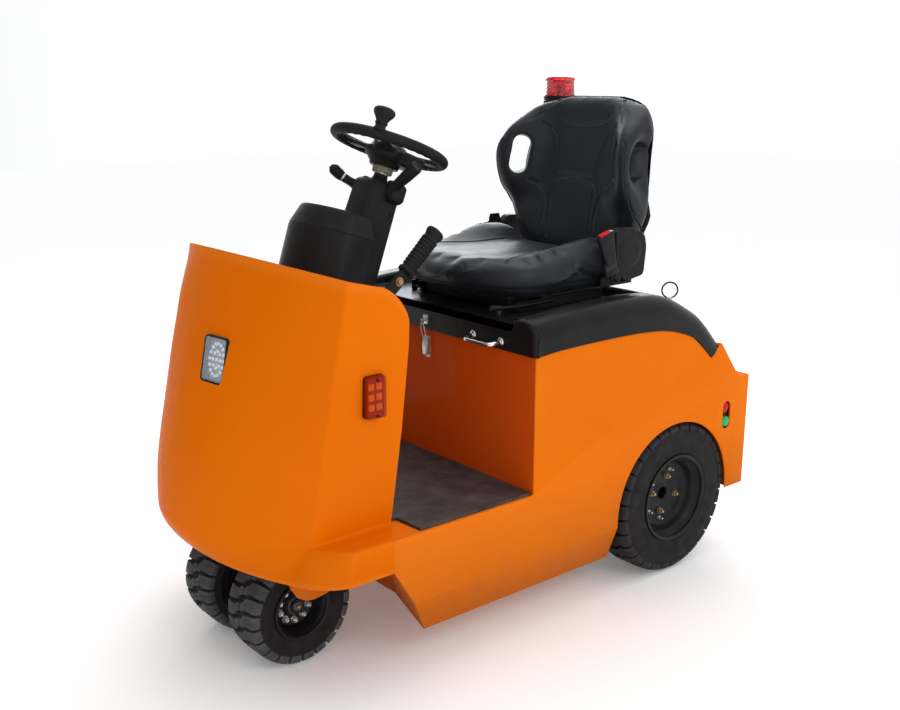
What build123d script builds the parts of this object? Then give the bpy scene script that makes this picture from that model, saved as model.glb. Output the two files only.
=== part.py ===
from build123d import *
import math
import os

# ------------------------------------------------------------------ driving dimensions (mm)
# All x values below are measured forward from the rear axle; FRAME_X moves the finished
# pieces so that the origin is under the middle of the whole tug, on the floor.
WHEELBASE = 1028.0
HALF_WIDTH = 385.0            # outer face of the side panels
FRONT_X = 1246.0              # foremost point of the cowl
REAR_X = -440.0               # rearmost point of the tow coupler
FRAME_X = -(FRONT_X + REAR_X) / 2.0

REAR_TYRE_R = 207.5
REAR_TYRE_W = 122.0
REAR_TRACK_Y = 318.0          # middle of a rear tyre
REAR_RIM_R = 101.6
FRONT_TYRE_R = 132.5
FRONT_TYRE_W = 118.0
FRONT_TRACK_Y = 104.0         # middle of each of the twin front tyres
FRONT_RIM_R = 64.0

DECK_Z = 349.0                # top of the floor platform
DECK_T = 6.0
SHEET = 4.0                   # body sheet thickness
CREASE_Z = 188.0              # fold between side panel and skirt
SKIRT_Z = 78.0                # underside of the belly
SKIRT_Y = 324.0
APRON_Z = 276.0               # lower edge of the nose
SEAT_BOX_X = 533.0            # front face of the seat box

ARCH_X, ARCH_Z, ARCH_R = 16.0, 200.0, 219.0

COLUMN_TILT = 22.0            # steering column lean, degrees from vertical
WHEEL_C = (651.0, 0.0, 1132.0)   # centre of the steering wheel
WHEEL_R = 143.0
WHEEL_TUBE = 12.5

BEACON_X, BEACON_Y = -140.0, -230.0
COUPLER_PIN_X = -400.0
HINGE_X, HINGE_Z = -160.0, 618.0   # battery lid hinge axis
LAMP_X, LAMP_Y, LAMP_Z = 1158.0, 51.0, 712.0   # single headlight: middle of its face
LAMP_W, LAMP_H, LAMP_LEAN, LAMP_YAW = 92.0, 102.0, 11.3, 6.2
POD_LEAN = 18.0                  # the dash pod leans like the column

os.makedirs("parts", exist_ok=True)


def put(node, shape):
    """Move a finished piece into the tug's frame and write it."""
    solids = shape.solids()
    body = solids[0] if len(solids) == 1 else Compound(children=list(solids))
    body = Pos(FRAME_X, 0, 0) * body
    body.label = node
    export_step(body, os.path.join("parts", node + ".step"))


def block(x0, x1, y0, y1, z0, z1):
    return Pos((x0 + x1) / 2, (y0 + y1) / 2, (z0 + z1) / 2) * Box(x1 - x0, y1 - y0, z1 - z0)


def side_prism(points, y0, y1):
    """Polygon given in (x, z), extruded from y0 to y1."""
    wire = Polyline(*[(x, y0, z) for x, z in points], close=True)
    return extrude(make_face(wire), amount=y1 - y0, dir=(0, 1, 0))


def plan_prism(points, z0, z1):
    wire = Polyline(*[(x, y, z0) for x, y in points], close=True)
    return extrude(make_face(wire), amount=z1 - z0, dir=(0, 0, 1))


def plate(points, thick):
    """Flat plate on 3-D corner points, thickened along its normal."""
    face = make_face(Polyline(*points, close=True))
    return extrude(face, amount=thick)


def rod(p0, p1, r):
    a, b = Vector(*p0), Vector(*p1)
    d = b - a
    plane = Plane(origin=a, z_dir=d)
    return extrude(plane * Circle(r), amount=d.length)


def y_disc(x, z, y0, y1, r, r_in=0.0):
    plane = Plane(origin=(x, y0, z), x_dir=(1, 0, 0), z_dir=(0, 1, 0))
    sk = plane * Circle(r)
    if r_in > 0:
        sk = plane * (Circle(r) - Circle(r_in))
    return extrude(sk, amount=y1 - y0)


def lathe_y(x, z, y0, profile):
    """Revolve (r, y) profile points about the wheel axis through (x, z)."""
    wire = Polyline(*[(x, y0 + y, z + r) for r, y in profile], close=True)
    return revolve(make_face(wire), axis=Axis((x, y0, z), (0, 1, 0)), revolution_arc=360)


def mirrored(shape):
    return mirror(shape, about=Plane.XZ)


# ------------------------------------------------------------------ front cowl and nose
# plan sections: height, x of the crease, y of the crease, bow of the front beyond the crease
COWL_SECTIONS = [
    # z,      x_crease, y_crease, bow
    (349.0, 1089.0, 306.0, 157.0),
    (470.0, 1071.0, 313.0, 163.0),
    (650.0, 1043.0, 323.0, 140.0),
    (960.0, 996.0, 338.0, 94.0),
]
COWL_BACK_X = 700.0


def cowl_section(z, xc, yc, bow, inset=0.0):
    yc -= inset
    xc -= inset * 0.6
    tip = xc + bow - inset * 0.4
    with BuildLine() as line:
        ThreePointArc((xc, -yc, z), (tip, 0, z), (xc, yc, z))
        Polyline((xc, yc, z), (COWL_BACK_X, yc, z), (COWL_BACK_X, -yc, z), (xc, -yc, z))
    return make_face(line.line)


cowl_outer = loft([cowl_section(*s) for s in COWL_SECTIONS])
cowl_inner = loft([cowl_section(*s, inset=SHEET) for s in COWL_SECTIONS])
cowl = cowl_outer - cowl_inner
# side view of what stays: leaning front, sloping top, rounded rear corner
with BuildLine() as side_line:
    Polyline((1400, -420, 349), (1400, -420, 1037), (1107, -420, 936.7), (1005, -420, 901.7), (909, -420, 876))
    ThreePointArc((909, -420, 876), (866, -420, 852), (850, -420, 806))
    Polyline((850, -420, 806), (850, -420, 748), (864, -420, 562), (887, -420, 349), (1400, -420, 349))
keep = extrude(make_face(side_line.line), amount=840, dir=(0, 1, 0))
cowl = cowl & keep
lamp_place = Pos(LAMP_X, LAMP_Y, LAMP_Z) * Rot(0, 0, LAMP_YAW) * Rot(0, -LAMP_LEAN, 0)
cowl -= lamp_place * Box(160, LAMP_W + 6, LAMP_H + 6)
put("front_cowl", cowl)

# nose apron: the front below deck level, from one side of the platform round to the other
APRON_SECTIONS = [
    # z,    tip,   x_a,   y_a,   x_m,   y_m,   x_b,   y_b  (front arc ends at a, corner runs by m to b)
    (276.0, 1203.0, 1132.0, 304.0, 1100.0, 354.0, 1045.0, 385.0),
    (300.0, 1224.0, 1127.0, 304.0, 1097.0, 354.0, 1043.0, 385.0),
    (324.0, 1238.0, 1115.0, 304.0, 1087.0, 352.0, 1040.0, 385.0),
    (349.0, 1246.0, 1089.0, 306.0, 1069.0, 346.0, 1036.0, 385.0),
]
APRON_BACK_X = 937.0


def apron_section(z, tip, xa, ya, xm, ym, xb, yb, inset=0.0):
    tip, xa, ya, xb, yb = tip - inset, xa - inset * 0.7, ya - inset * 0.6, xb - inset * 0.5, yb - inset
    xm, ym = xm - inset * 0.7, ym - inset * 0.7
    with BuildLine() as line:
        ThreePointArc((xa, -ya, z), (tip, 0, z), (xa, ya, z))
        ThreePointArc((xa, ya, z), (xm, ym, z), (xb, yb, z))
        Polyline((xb, yb, z), (APRON_BACK_X, yb, z), (APRON_BACK_X, -yb, z), (xb, -yb, z))
        ThreePointArc((xb, -yb, z), (xm, -ym, z), (xa, -ya, z))
    return make_face(line.line)


apron = loft([apron_section(*s) for s in APRON_SECTIONS], ruled=True)
apron -= loft([apron_section(*s, inset=SHEET) for s in APRON_SECTIONS], ruled=True)
put("nose_apron", apron)

# ------------------------------------------------------------------ platform
platform = plan_prism(
    [(SEAT_BOX_X - SHEET, -380.5), (1034, -380.5), (1064, -342), (1083, -300), (1160, -200), (1190, -100), (1190, 100), (1160, 200), (1083, 300),
     (1064, 342), (1034, 380.5), (SEAT_BOX_X - SHEET, 380.5)], DECK_Z - DECK_T, DECK_Z)
platform += rod((WHEELBASE, 0, 322.5), (WHEELBASE, 0, 343.5), 80)
# a guard plate hangs beside each front tyre, outside the circle that the turned wheels sweep
GUARD = [(1098, 344), (1098, 250), (1092, 226), (1076, 200), (1055, 187), (1035, 184), (1005, 188), (960, 202), (918, 214), (918, 344)]
for y in (216, -220):
    platform += side_prism(GUARD, y, y + 4)
put("floor_platform", platform)
put("floor_mat", plan_prism(
    [(536, -377), (861, -377), (866, -296), (1012, -288), (1012, 288), (866, 296), (861, 377), (536, 377)], DECK_Z, DECK_Z + 7))

# ------------------------------------------------------------------ side panels and skirts
SIDE_TOP = [(533, 678), (459, 685), (325, 687), (183, 685), (76, 675), (-13, 649), (-56, 621), (-107, 576),
            (-151, 609), (-216, 527), (-235, 503)]


def side_panel():
    outline = [(937, APRON_Z), (937, DECK_Z), (533, DECK_Z)] + SIDE_TOP + [(-281, 500), (-279, 188), (-203, 189),
               (235, 189), (883, CREASE_Z)]
    p = side_prism(outline, HALF_WIDTH - SHEET, HALF_WIDTH)
    p -= y_disc(ARCH_X, ARCH_Z, 300, 420, ARCH_R)
    slot = Pos(-189, 383, 402) * Rot(90, 0, 0) * extrude(SlotOverall(80, 26, rotation=90), amount=20, both=True)
    return p - slot


skirt = plate([(239, 385, 188), (883, 385, 188), (810, 324, 78), (204, 324, 78)], SHEET)
if skirt.center().Y > 354.5:
    skirt = plate([(204, 324, 78), (810, 324, 78), (883, 385, 188), (239, 385, 188)], SHEET)
left_panel = side_panel() + skirt
put("side_panel_left", left_panel)
put("side_panel_right", mirrored(left_panel))


def belly_wall(z0, front0, z1, front1):
    """Front of the belly between two heights; front = (x at centre, half centre width, x at side, half width)."""
    faces = []
    for z, (xc, yc, xs, ys) in ((z0, front0), (z1, front1)):
        pts = [(xs, ys), (xc, yc), (xc, -yc), (xs, -ys), (xs - 5, -ys), (xc - 5, -yc), (xc - 5, yc), (xs - 5, ys)]
        faces.append(make_face(Polyline(*[(x, y, z) for x, y in pts], close=True)))
    return loft(faces, ruled=True)


belly = belly_wall(82, (752, 135, 809, 318), 188, (804, 150, 879, 377))
belly += belly_wall(188, (804, 150, 879, 377), 276, (840, 160, 933, 380))
belly += belly_wall(276, (840, 160, 933, 380), 342, (840, 160, 933, 380))
belly += plan_prism([(204, -317), (809, -317), (752, -135), (752, 135), (809, 317), (204, 317)], SKIRT_Z, SKIRT_Z + SHEET)
put("belly_pan", belly)

# ------------------------------------------------------------------ seat box and rear body
put("seat_box_front", block(SEAT_BOX_X - SHEET, SEAT_BOX_X, -381, 381, DECK_Z, 700) + block(473, SEAT_BOX_X, -370, 370, 696, 700))


def wheel_house():
    shell = y_disc(ARCH_X, ARCH_Z, 246, 381, 234, 230) + y_disc(ARCH_X, ARCH_Z, 242, 246, 234, 55)
    shell &= block(-260, 300, 200, 400, 189, 500)
    return shell


house = wheel_house()
put("wheel_houses", Compound(children=[house, mirrored(house)]))

bumper = block(-281, -235, -381, 381, 188, 501) - block(-276, -230, -376, 376, 193, 496)
deck_pts = [(-154, 606), (-216, 527), (-235, 501), (-235, 495), (-212, 521), (-150, 600)]
bumper += side_prism(deck_pts, -381, 381)
hinge_leaf = [(-156, 602), (-192, 556), (-194.4, 557.8), (-167, 597), (-164, 612), (-156, 612)]
for y in (-230, 170):
    bumper += y_disc(HINGE_X, HINGE_Z, y, y + 60, 8) + side_prism(hinge_leaf, y, y + 60)
put("rear_plate", bumper)

# ------------------------------------------------------------------ hood (battery cover)
HOOD_LOW = [(539, 678.5), (459, 685), (325, 687), (183, 685), (76, 675), (-13, 649), (-56, 621), (-107, 576)]
HOOD_TOP = [(-151, 611), (-118, 650), (-64, 691), (12, 736), (65, 757), (160, 770), (300, 772), (539, 757)]
hood_out = side_prism(HOOD_LOW + HOOD_TOP, -388, 388)
hood_in_low = [(534, 660), (459, 665), (325, 667), (183, 665), (76, 655), (-13, 629), (-56, 601), (-100, 560)]
hood_in_top = [(-142, 605), (-108, 640), (-58, 682), (15, 728), (67, 749), (160, 730), (300, 730), (534, 720)]
hood_in = side_prism(hood_in_low + hood_in_top, -382, 382)
hood = hood_out - hood_in
hood = Pos(0, 0, 0.6) * hood
hood -= block(80, 560, -300, 300, 738, 800)
hood -= block(470, 560, -300, 300, 730, 800)
put("hood", hood)

# ------------------------------------------------------------------ seat
put("seat_base", block(150, 470, -190, 190, 738, 772))


# cushion: side outline cut by a plan outline with a rounded front
cushion = side_prism([(70, 776), (495, 776), (524, 796), (524, 822), (495, 847), (370, 862), (204, 886), (90, 884), (70, 850)], -245, 245)
with BuildLine() as cushion_plan:
    Polyline((380, -245, 760), (60, -245, 760), (60, 245, 760), (380, 245, 760))
    ThreePointArc((380, 245, 760), (482, 155, 760), (524, 0, 760))
    ThreePointArc((524, 0, 760), (482, -155, 760), (380, -245, 760))
cushion &= extrude(make_face(cushion_plan.line), amount=200, dir=(0, 0, 1))
put("seat_cushion", cushion)

# backrest: plan sections, hollowed in the middle with an ear each side
BACK_Z0, BACK_Z1 = 858.0, 1243.0     # where the ears begin, and the top
PAD_PLANS = [
    # z, half outline (x, y) from the middle of the front round the ear to the middle of the rear
    (806.0, [(62, 0), (60, 100), (57, 130), (50, 160), (44, 172), (34, 180), (0, 180), (-8, 165), (-12, 130), (-12, 0)]),
    (BACK_Z0, [(64, 0), (62, 110), (60, 150), (54, 190), (48, 200), (38, 206), (-2, 206), (-8, 190), (-12, 150), (-12, 0)]),
    (942.0, [(44, 0), (43, 112), (50, 165), (62, 208), (58, 226), (46, 238), (-6, 240), (-16, 198), (-24, 150), (-24, 0)]),
    (1005.0, [(29, 0), (29, 114), (62, 168), (94, 212), (92, 228), (82, 242), (-8, 245), (-20, 200), (-30, 150), (-30, 0)]),
    (1090.0, [(9, 0), (10, 115), (66, 168), (109, 213), (107, 229), (96, 244), (-10, 246), (-24, 200), (-38, 150), (-38, 0)]),
    (1170.0, [(-7, 0), (-6, 112), (46, 160), (82, 202), (82, 218), (72, 234), (-12, 244), (-30, 196), (-48, 148), (-48, 0)]),
    (1222.0, [(-18, 0), (-17, 100), (-6, 130), (10, 162), (12, 184), (6, 206), (-18, 232), (-36, 190), (-54, 140), (-54, 0)]),
    (BACK_Z1, [(-22, 0), (-22, 80), (-21, 115), (-19, 142), (-18, 165), (-22, 188), (-32, 198), (-42, 170), (-56, 120), (-56, 0)]),
]
SHELL_PLANS = [(z, [(p[-1][0] - 2, 0), (p[-2][0] - 2, p[-2][1]), (p[-3][0] - 2, p[-3][1]), (p[-3][0] - 12, p[-3][1] - 2),
                    (p[-2][0] - 16, p[-2][1]), (p[-1][0] - 18, 0)]) for z, p in PAD_PLANS]


def back_solid(plans):
    faces = []
    for z, half_plan in plans:
        pts = [(x, y, z) for x, y in half_plan]
        pts += [(x, -y, z) for x, y in reversed(half_plan[1:-1])]
        faces.append(make_face(Polyline(*pts, close=True)))
    return loft(faces, ruled=True)


ear_holes = None
for s in (1, -1):
    slot_plane = Plane(origin=(57, s * 188, 1080), x_dir=(0, 0, 1), z_dir=(0.55, -s * 0.835, 0))
    cut = extrude(slot_plane * SlotOverall(104, 50), amount=160, both=True)
    ear_holes = cut if ear_holes is None else ear_holes + cut
put("seat_back", back_solid(PAD_PLANS) - ear_holes)
put("seat_back_shell", back_solid(SHELL_PLANS) - ear_holes)
cover = side_prism([(163, 922), (137, 929), (92, 922), (58, 904), (52, 873), (56, 798), (128, 787), (146, 808), (160, 854)], 250, 278)
far_cover = side_prism([(62, 880), (42, 903), (4, 903), (-16, 880), (-22, 800), (62, 790)], -278, -250)
put("seat_side_covers", Compound(children=[cover, far_cover]))
buckle = side_prism([(250, 926), (197, 907), (162, 856), (165, 800), (206, 797), (218, 850)], 280, 294)
far_buckle = side_prism([(168, 888), (164, 872), (68, 868), (68, 892)], -292, -280)
put("belt_buckles", Compound(children=[buckle, far_buckle]))

# ------------------------------------------------------------------ beacon
post = rod((BEACON_X, BEACON_Y, 600), (BEACON_X, BEACON_Y, 1206), 11)
post += rod((BEACON_X, BEACON_Y, 1205), (BEACON_X, BEACON_Y, 1236), 47)
post -= Pos(0, 0, 0.6) * hood_out
put("beacon_post", max(post.solids(), key=lambda s: s.center().Z))
put("beacon_lens", rod((BEACON_X, BEACON_Y, 1236), (BEACON_X, BEACON_Y, 1293), 44))

# ------------------------------------------------------------------ steering column and wheel
AX = (-math.sin(math.radians(COLUMN_TILT)), 0, math.cos(math.radians(COLUMN_TILT)))


def along(d):
    """Point on the steering axis, d below the wheel centre."""
    return (WHEEL_C[0] - AX[0] * d, 0, WHEEL_C[2] - AX[2] * d)


def column_solid(grow):
    return loft([Plane(origin=along(750), z_dir=AX) * Rectangle(115 + grow, 115 + grow),
                 Plane(origin=along(86), z_dir=AX) * Rectangle(90 + grow, 90 + grow)], ruled=True)


column = column_solid(0)
column &= block(500, 1100, -200, 200, DECK_Z + 7, 1200)
put("column_cover", column)
wheel_plane = Plane(origin=WHEEL_C, z_dir=AX)
rim = Solid.make_torus(WHEEL_R - WHEEL_TUBE, WHEEL_TUBE, plane=wheel_plane)
hub = rod(along(34), along(-8), 34) + rod(along(85.5), along(30), 18)
for a in (40, 160, 280):
    arm = wheel_plane * Rot(0, 0, a) * Pos(WHEEL_R / 2 - 4, 0, -4) * Box(WHEEL_R - 30, 22, 8)
    hub += arm
put("steering_wheel", rim.fuse(*hub.solids()))
KNOB_A = math.radians(40)
KNOB_XY = ((WHEEL_R - WHEEL_TUBE) * math.cos(KNOB_A), (WHEEL_R - WHEEL_TUBE) * math.sin(KNOB_A))
KNOB = wheel_plane.from_local_coords((*KNOB_XY, WHEEL_TUBE + 1))
KNOB_TOP = wheel_plane.from_local_coords((*KNOB_XY, 60))
put("steering_knob", rod(tuple(KNOB), tuple(KNOB_TOP), 18))

POD_AX = (-math.sin(math.radians(POD_LEAN)), 0, math.cos(math.radians(POD_LEAN)))
POD_FX = (POD_AX[2], 0, -POD_AX[0])


def pod_plane(up):
    return Plane(origin=(WHEEL_C[0] + POD_AX[0] * up, 0, WHEEL_C[2] + POD_AX[2] * up), x_dir=POD_FX, z_dir=POD_AX)


def dash_plan(inset):
    """Outline in (forward, left) about the wheel centre."""
    with BuildLine() as line:
        Polyline((-12, -132 + inset), (-12, 0), (25 + inset, 0), (25 + inset, 62 - inset), (94 - inset / 2, 62 - inset))
        ThreePointArc((94 - inset / 2, 62 - inset), (154 - inset, -30), (140 - inset, -132 + inset))
        Polyline((140 - inset, -132 + inset), (-12, -132 + inset))
    return make_face(line.line)


dash = extrude(pod_plane(-500) * dash_plan(0), amount=318) - extrude(pod_plane(-500) * dash_plan(5), amount=313)
dash -= column_solid(4)
dash = max(dash.solids(), key=lambda piece: piece.volume)
put("dash_pod", dash)
put("control_stalks", Compound(children=[rod((720, -59, 1045), (748, -102, 1090), 8), rod((682, 61, 1034), (655, 112, 1092), 9)]))
put("handbrake_lever", rod((850, 170, 770), (735, 170, 870), 10) + rod((736, 170, 869), (648, 170, 952), 18))
put("pedals", Compound(children=[block(960, 972, 80, 160, 375, 440) + block(964, 984, 114, 126, 430, 560),
                                 block(950, 962, -150, -90, 370, 460)]))

# ------------------------------------------------------------------ lamps, handle, latch, buttons
put("headlight", lamp_place * Pos(-17, 0, 0) * Box(34, LAMP_W, LAMP_H))
lamp = block(913, 972, 326, 342, 603, 704)
put("marker_lamps", Compound(children=[lamp, mirrored(lamp)]))
handle_path = FilletPolyline((539.2, 176, 696), (574, 176, 693), (574, 272, 693), (539.2, 272, 696), radius=12)
handle = sweep(Plane(origin=handle_path @ 0, z_dir=handle_path % 0) * Circle(5), path=handle_path)
put("grab_handle", handle)
put("hood_latch", block(533, 544, -14, 2, 607, 672))
put("stop_button", rod((-189, 372, 422), (-189, 384, 422), 11))
put("start_button", rod((-189, 372, 383), (-189, 384, 383), 10))

# ------------------------------------------------------------------ tow coupler
coupler = block(-310, -281, -90, 90, 260, 480)
for z in (270, 335, 400, 465):
    coupler += block(-440, -300, -45, 45, z, z + 14)
coupler -= rod((COUPLER_PIN_X, 0, 200), (COUPLER_PIN_X, 0, 600), 12)
put("tow_coupler", coupler)
pin = rod((COUPLER_PIN_X, 0, 262), (COUPLER_PIN_X, 0, 642), 10) + Solid.make_torus(23, 3, plane=Plane(origin=(COUPLER_PIN_X, 0, 661), z_dir=(0.6, 0.77, 0)))
put("tow_pin", pin)

# ------------------------------------------------------------------ battery, drive
put("battery", block(262, 515, -300, 300, 95, 560))
axle = y_disc(0, REAR_TYRE_R, -238, 238, 38) + y_disc(0, REAR_TYRE_R, -80, 80, 85)
axle += block(60, 120, -60, 60, 180, 260) + y_disc(150, 250, -110, 110, 62)
put("drive_axle", axle)

# ------------------------------------------------------------------ rear wheels
REAR_TYRE = [(REAR_RIM_R, -50), (112, -56), (125, -58), (160, -61), (188, -57), (203, -48), (207.5, -36),
             (207.5, 36), (203, 48), (188, 57), (160, 61), (125, 58), (112, 56), (REAR_RIM_R, 50)]
REAR_RIM = [(26, -8), (84, -8), (90, 40), (REAR_RIM_R, 50), (REAR_RIM_R, -50), (92, -46), (92, -18), (26, -18)]
for side, s in (("left", 1), ("right", -1)):
    tyre = lathe_y(0, REAR_TYRE_R, REAR_TRACK_Y, REAR_TYRE)
    rimr = lathe_y(0, REAR_TYRE_R, REAR_TRACK_Y, REAR_RIM)
    rimr += y_disc(0, REAR_TYRE_R, 246, 322, 26.5) + y_disc(0, REAR_TYRE_R, 262, 304, 70, 20)
    for node, sh in (("rear_tyre_", tyre), ("rear_rim_", rimr)):
        put(node + side, sh if s > 0 else mirrored(sh))

# ------------------------------------------------------------------ steered front wheels
FRONT_TYRE = [(FRONT_RIM_R, -48), (80, -55), (105, -59), (122, -55), (131, -47), (132.5, -38),
              (132.5, 38), (131, 47), (122, 55), (105, 59), (80, 55), (FRONT_RIM_R, 48)]
FRONT_RIM = [(18, 12), (50, 12), (56, 44), (FRONT_RIM_R, 48), (FRONT_RIM_R, -48), (56, -46), (54, 2), (18, 2)]
for side, s in (("left", 1), ("right", -1)):
    tyre = lathe_y(WHEELBASE, FRONT_TYRE_R, FRONT_TRACK_Y, FRONT_TYRE)
    rimf = lathe_y(WHEELBASE, FRONT_TYRE_R, FRONT_TRACK_Y, FRONT_RIM)
    for node, sh in (("front_tyre_", tyre), ("front_rim_", rimf)):
        put(node + side, sh if s > 0 else mirrored(sh))
yoke = y_disc(WHEELBASE, FRONT_TYRE_R, -30, 30, 42) + y_disc(WHEELBASE, FRONT_TYRE_R, -140, 140, 17.9)
yoke += block(WHEELBASE - 30, WHEELBASE + 30, -30, 30, FRONT_TYRE_R + 30, 290)
yoke += rod((WHEELBASE, 0, 285), (WHEELBASE, 0, 322), 60)
put("steering_yoke", yoke)
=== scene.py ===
import bpy
import bmesh
import math
from mathutils import Matrix, Vector, bvhtree, kdtree


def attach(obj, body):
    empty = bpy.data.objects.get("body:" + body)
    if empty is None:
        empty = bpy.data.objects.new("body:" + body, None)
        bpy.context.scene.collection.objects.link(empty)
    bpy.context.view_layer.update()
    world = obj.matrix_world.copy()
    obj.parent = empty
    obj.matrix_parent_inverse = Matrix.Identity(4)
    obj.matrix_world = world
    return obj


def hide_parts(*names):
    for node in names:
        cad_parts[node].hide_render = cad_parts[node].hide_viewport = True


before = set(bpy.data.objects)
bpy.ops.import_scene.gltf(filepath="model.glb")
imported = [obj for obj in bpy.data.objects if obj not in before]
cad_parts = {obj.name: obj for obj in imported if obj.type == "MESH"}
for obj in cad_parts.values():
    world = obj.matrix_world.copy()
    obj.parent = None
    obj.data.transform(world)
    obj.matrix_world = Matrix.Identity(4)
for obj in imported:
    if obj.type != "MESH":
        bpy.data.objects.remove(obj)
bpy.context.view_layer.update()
scene = bpy.context.scene

# ---------------------------------------------------------------- camera
FXM = -403.0                     # rear axle's x in the tug's frame, mm
CAM_AZ, CAM_EL = math.radians(50.393), math.radians(14.284)
CAM_POS = Vector(((2206.5 + FXM) / 1000, 2.1024, 1.2953))
cb = Vector((math.cos(CAM_EL) * math.cos(CAM_AZ), math.cos(CAM_EL) * math.sin(CAM_AZ), math.sin(CAM_EL)))
cr = Vector((0, 0, 1)).cross(cb).normalized()
cu = cb.cross(cr)
cam_data = bpy.data.cameras.new("camera")
cam_data.lens = 43.92
cam_data.sensor_width = 36.0
cam = bpy.data.objects.new("camera", cam_data)
scene.collection.objects.link(cam)
cam.matrix_world = Matrix(((cr.x, cu.x, cb.x, CAM_POS.x), (cr.y, cu.y, cb.y, CAM_POS.y), (cr.z, cu.z, cb.z, CAM_POS.z), (0, 0, 0, 1)))
scene.camera = cam

# ---------------------------------------------------------------- light and floor
scene.view_settings.view_transform = "Standard"
scene.view_settings.look = "None"
world = bpy.data.worlds.new("studio")
scene.world = world
world.use_nodes = True
world.node_tree.nodes["Background"].inputs[0].default_value = (0.990, 0.995, 1.0, 1)
sky = world.node_tree.nodes.new("ShaderNodeTexCoord")
sky_dot = world.node_tree.nodes.new("ShaderNodeVectorMath")
sky_dot.operation = "DOT_PRODUCT"
sky_dot.inputs[1].default_value = (0.85, -0.53, 0.0)
world.node_tree.links.new(sky.outputs["Generated"], sky_dot.inputs[0])
sky_fall = world.node_tree.nodes.new("ShaderNodeMapRange")      # the studio is dimmer ahead of the tug
for key, value in (("From Min", 0.18), ("From Max", 1.0), ("To Min", 1.03), ("To Max", 0.22)):
    sky_fall.inputs[key].default_value = value
world.node_tree.links.new(sky_dot.outputs["Value"], sky_fall.inputs["Value"])
world.node_tree.links.new(sky_fall.outputs[0], world.node_tree.nodes["Background"].inputs[1])


def area_light(name, pos, target, size, power, tint=(1, 1, 1), size_y=None):
    d = bpy.data.lights.new(name, "AREA")
    d.energy = power
    d.color = tint
    d.size = size
    if size_y:
        d.shape = "RECTANGLE"
        d.size_y = size_y
    o = bpy.data.objects.new(name, d)
    scene.collection.objects.link(o)
    z = (Vector(pos) - Vector(target)).normalized()
    o.matrix_world = Matrix.Translation(Vector(pos)) @ z.to_track_quat("Z", "Y").to_matrix().to_4x4()
    return o


area_light("key_light", (0.7, 3.5, 3.0), (0, 0, 0.6), 0.9, 12, (1.0, 0.98, 0.95))
area_light("side_strip", (1.30, 3.3, 0.95), (0.62, 0.3, 0.6), 0.07, 5, (0.97, 0.985, 1.0), 1.6).visible_camera = False
area_light("top_light", (-0.6, -0.4, 3.6), (0, 0, 0.6), 2.2, 24, (0.93, 0.96, 1.0))
area_light("back_light", (-2.0, -2.4, 1.95), (0, 0, 0.8), 2.6, 46, (0.93, 0.965, 1.0), 1.2).visible_camera = False

floor_mesh = bpy.data.meshes.new("studio_floor")
floor_mesh.from_pydata([(-14, -14, 0), (14, -14, 0), (14, 14, 0), (-14, 14, 0)], [], [(0, 1, 2, 3)])
floor = bpy.data.objects.new("studio_floor", floor_mesh)
scene.collection.objects.link(floor)


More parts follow.
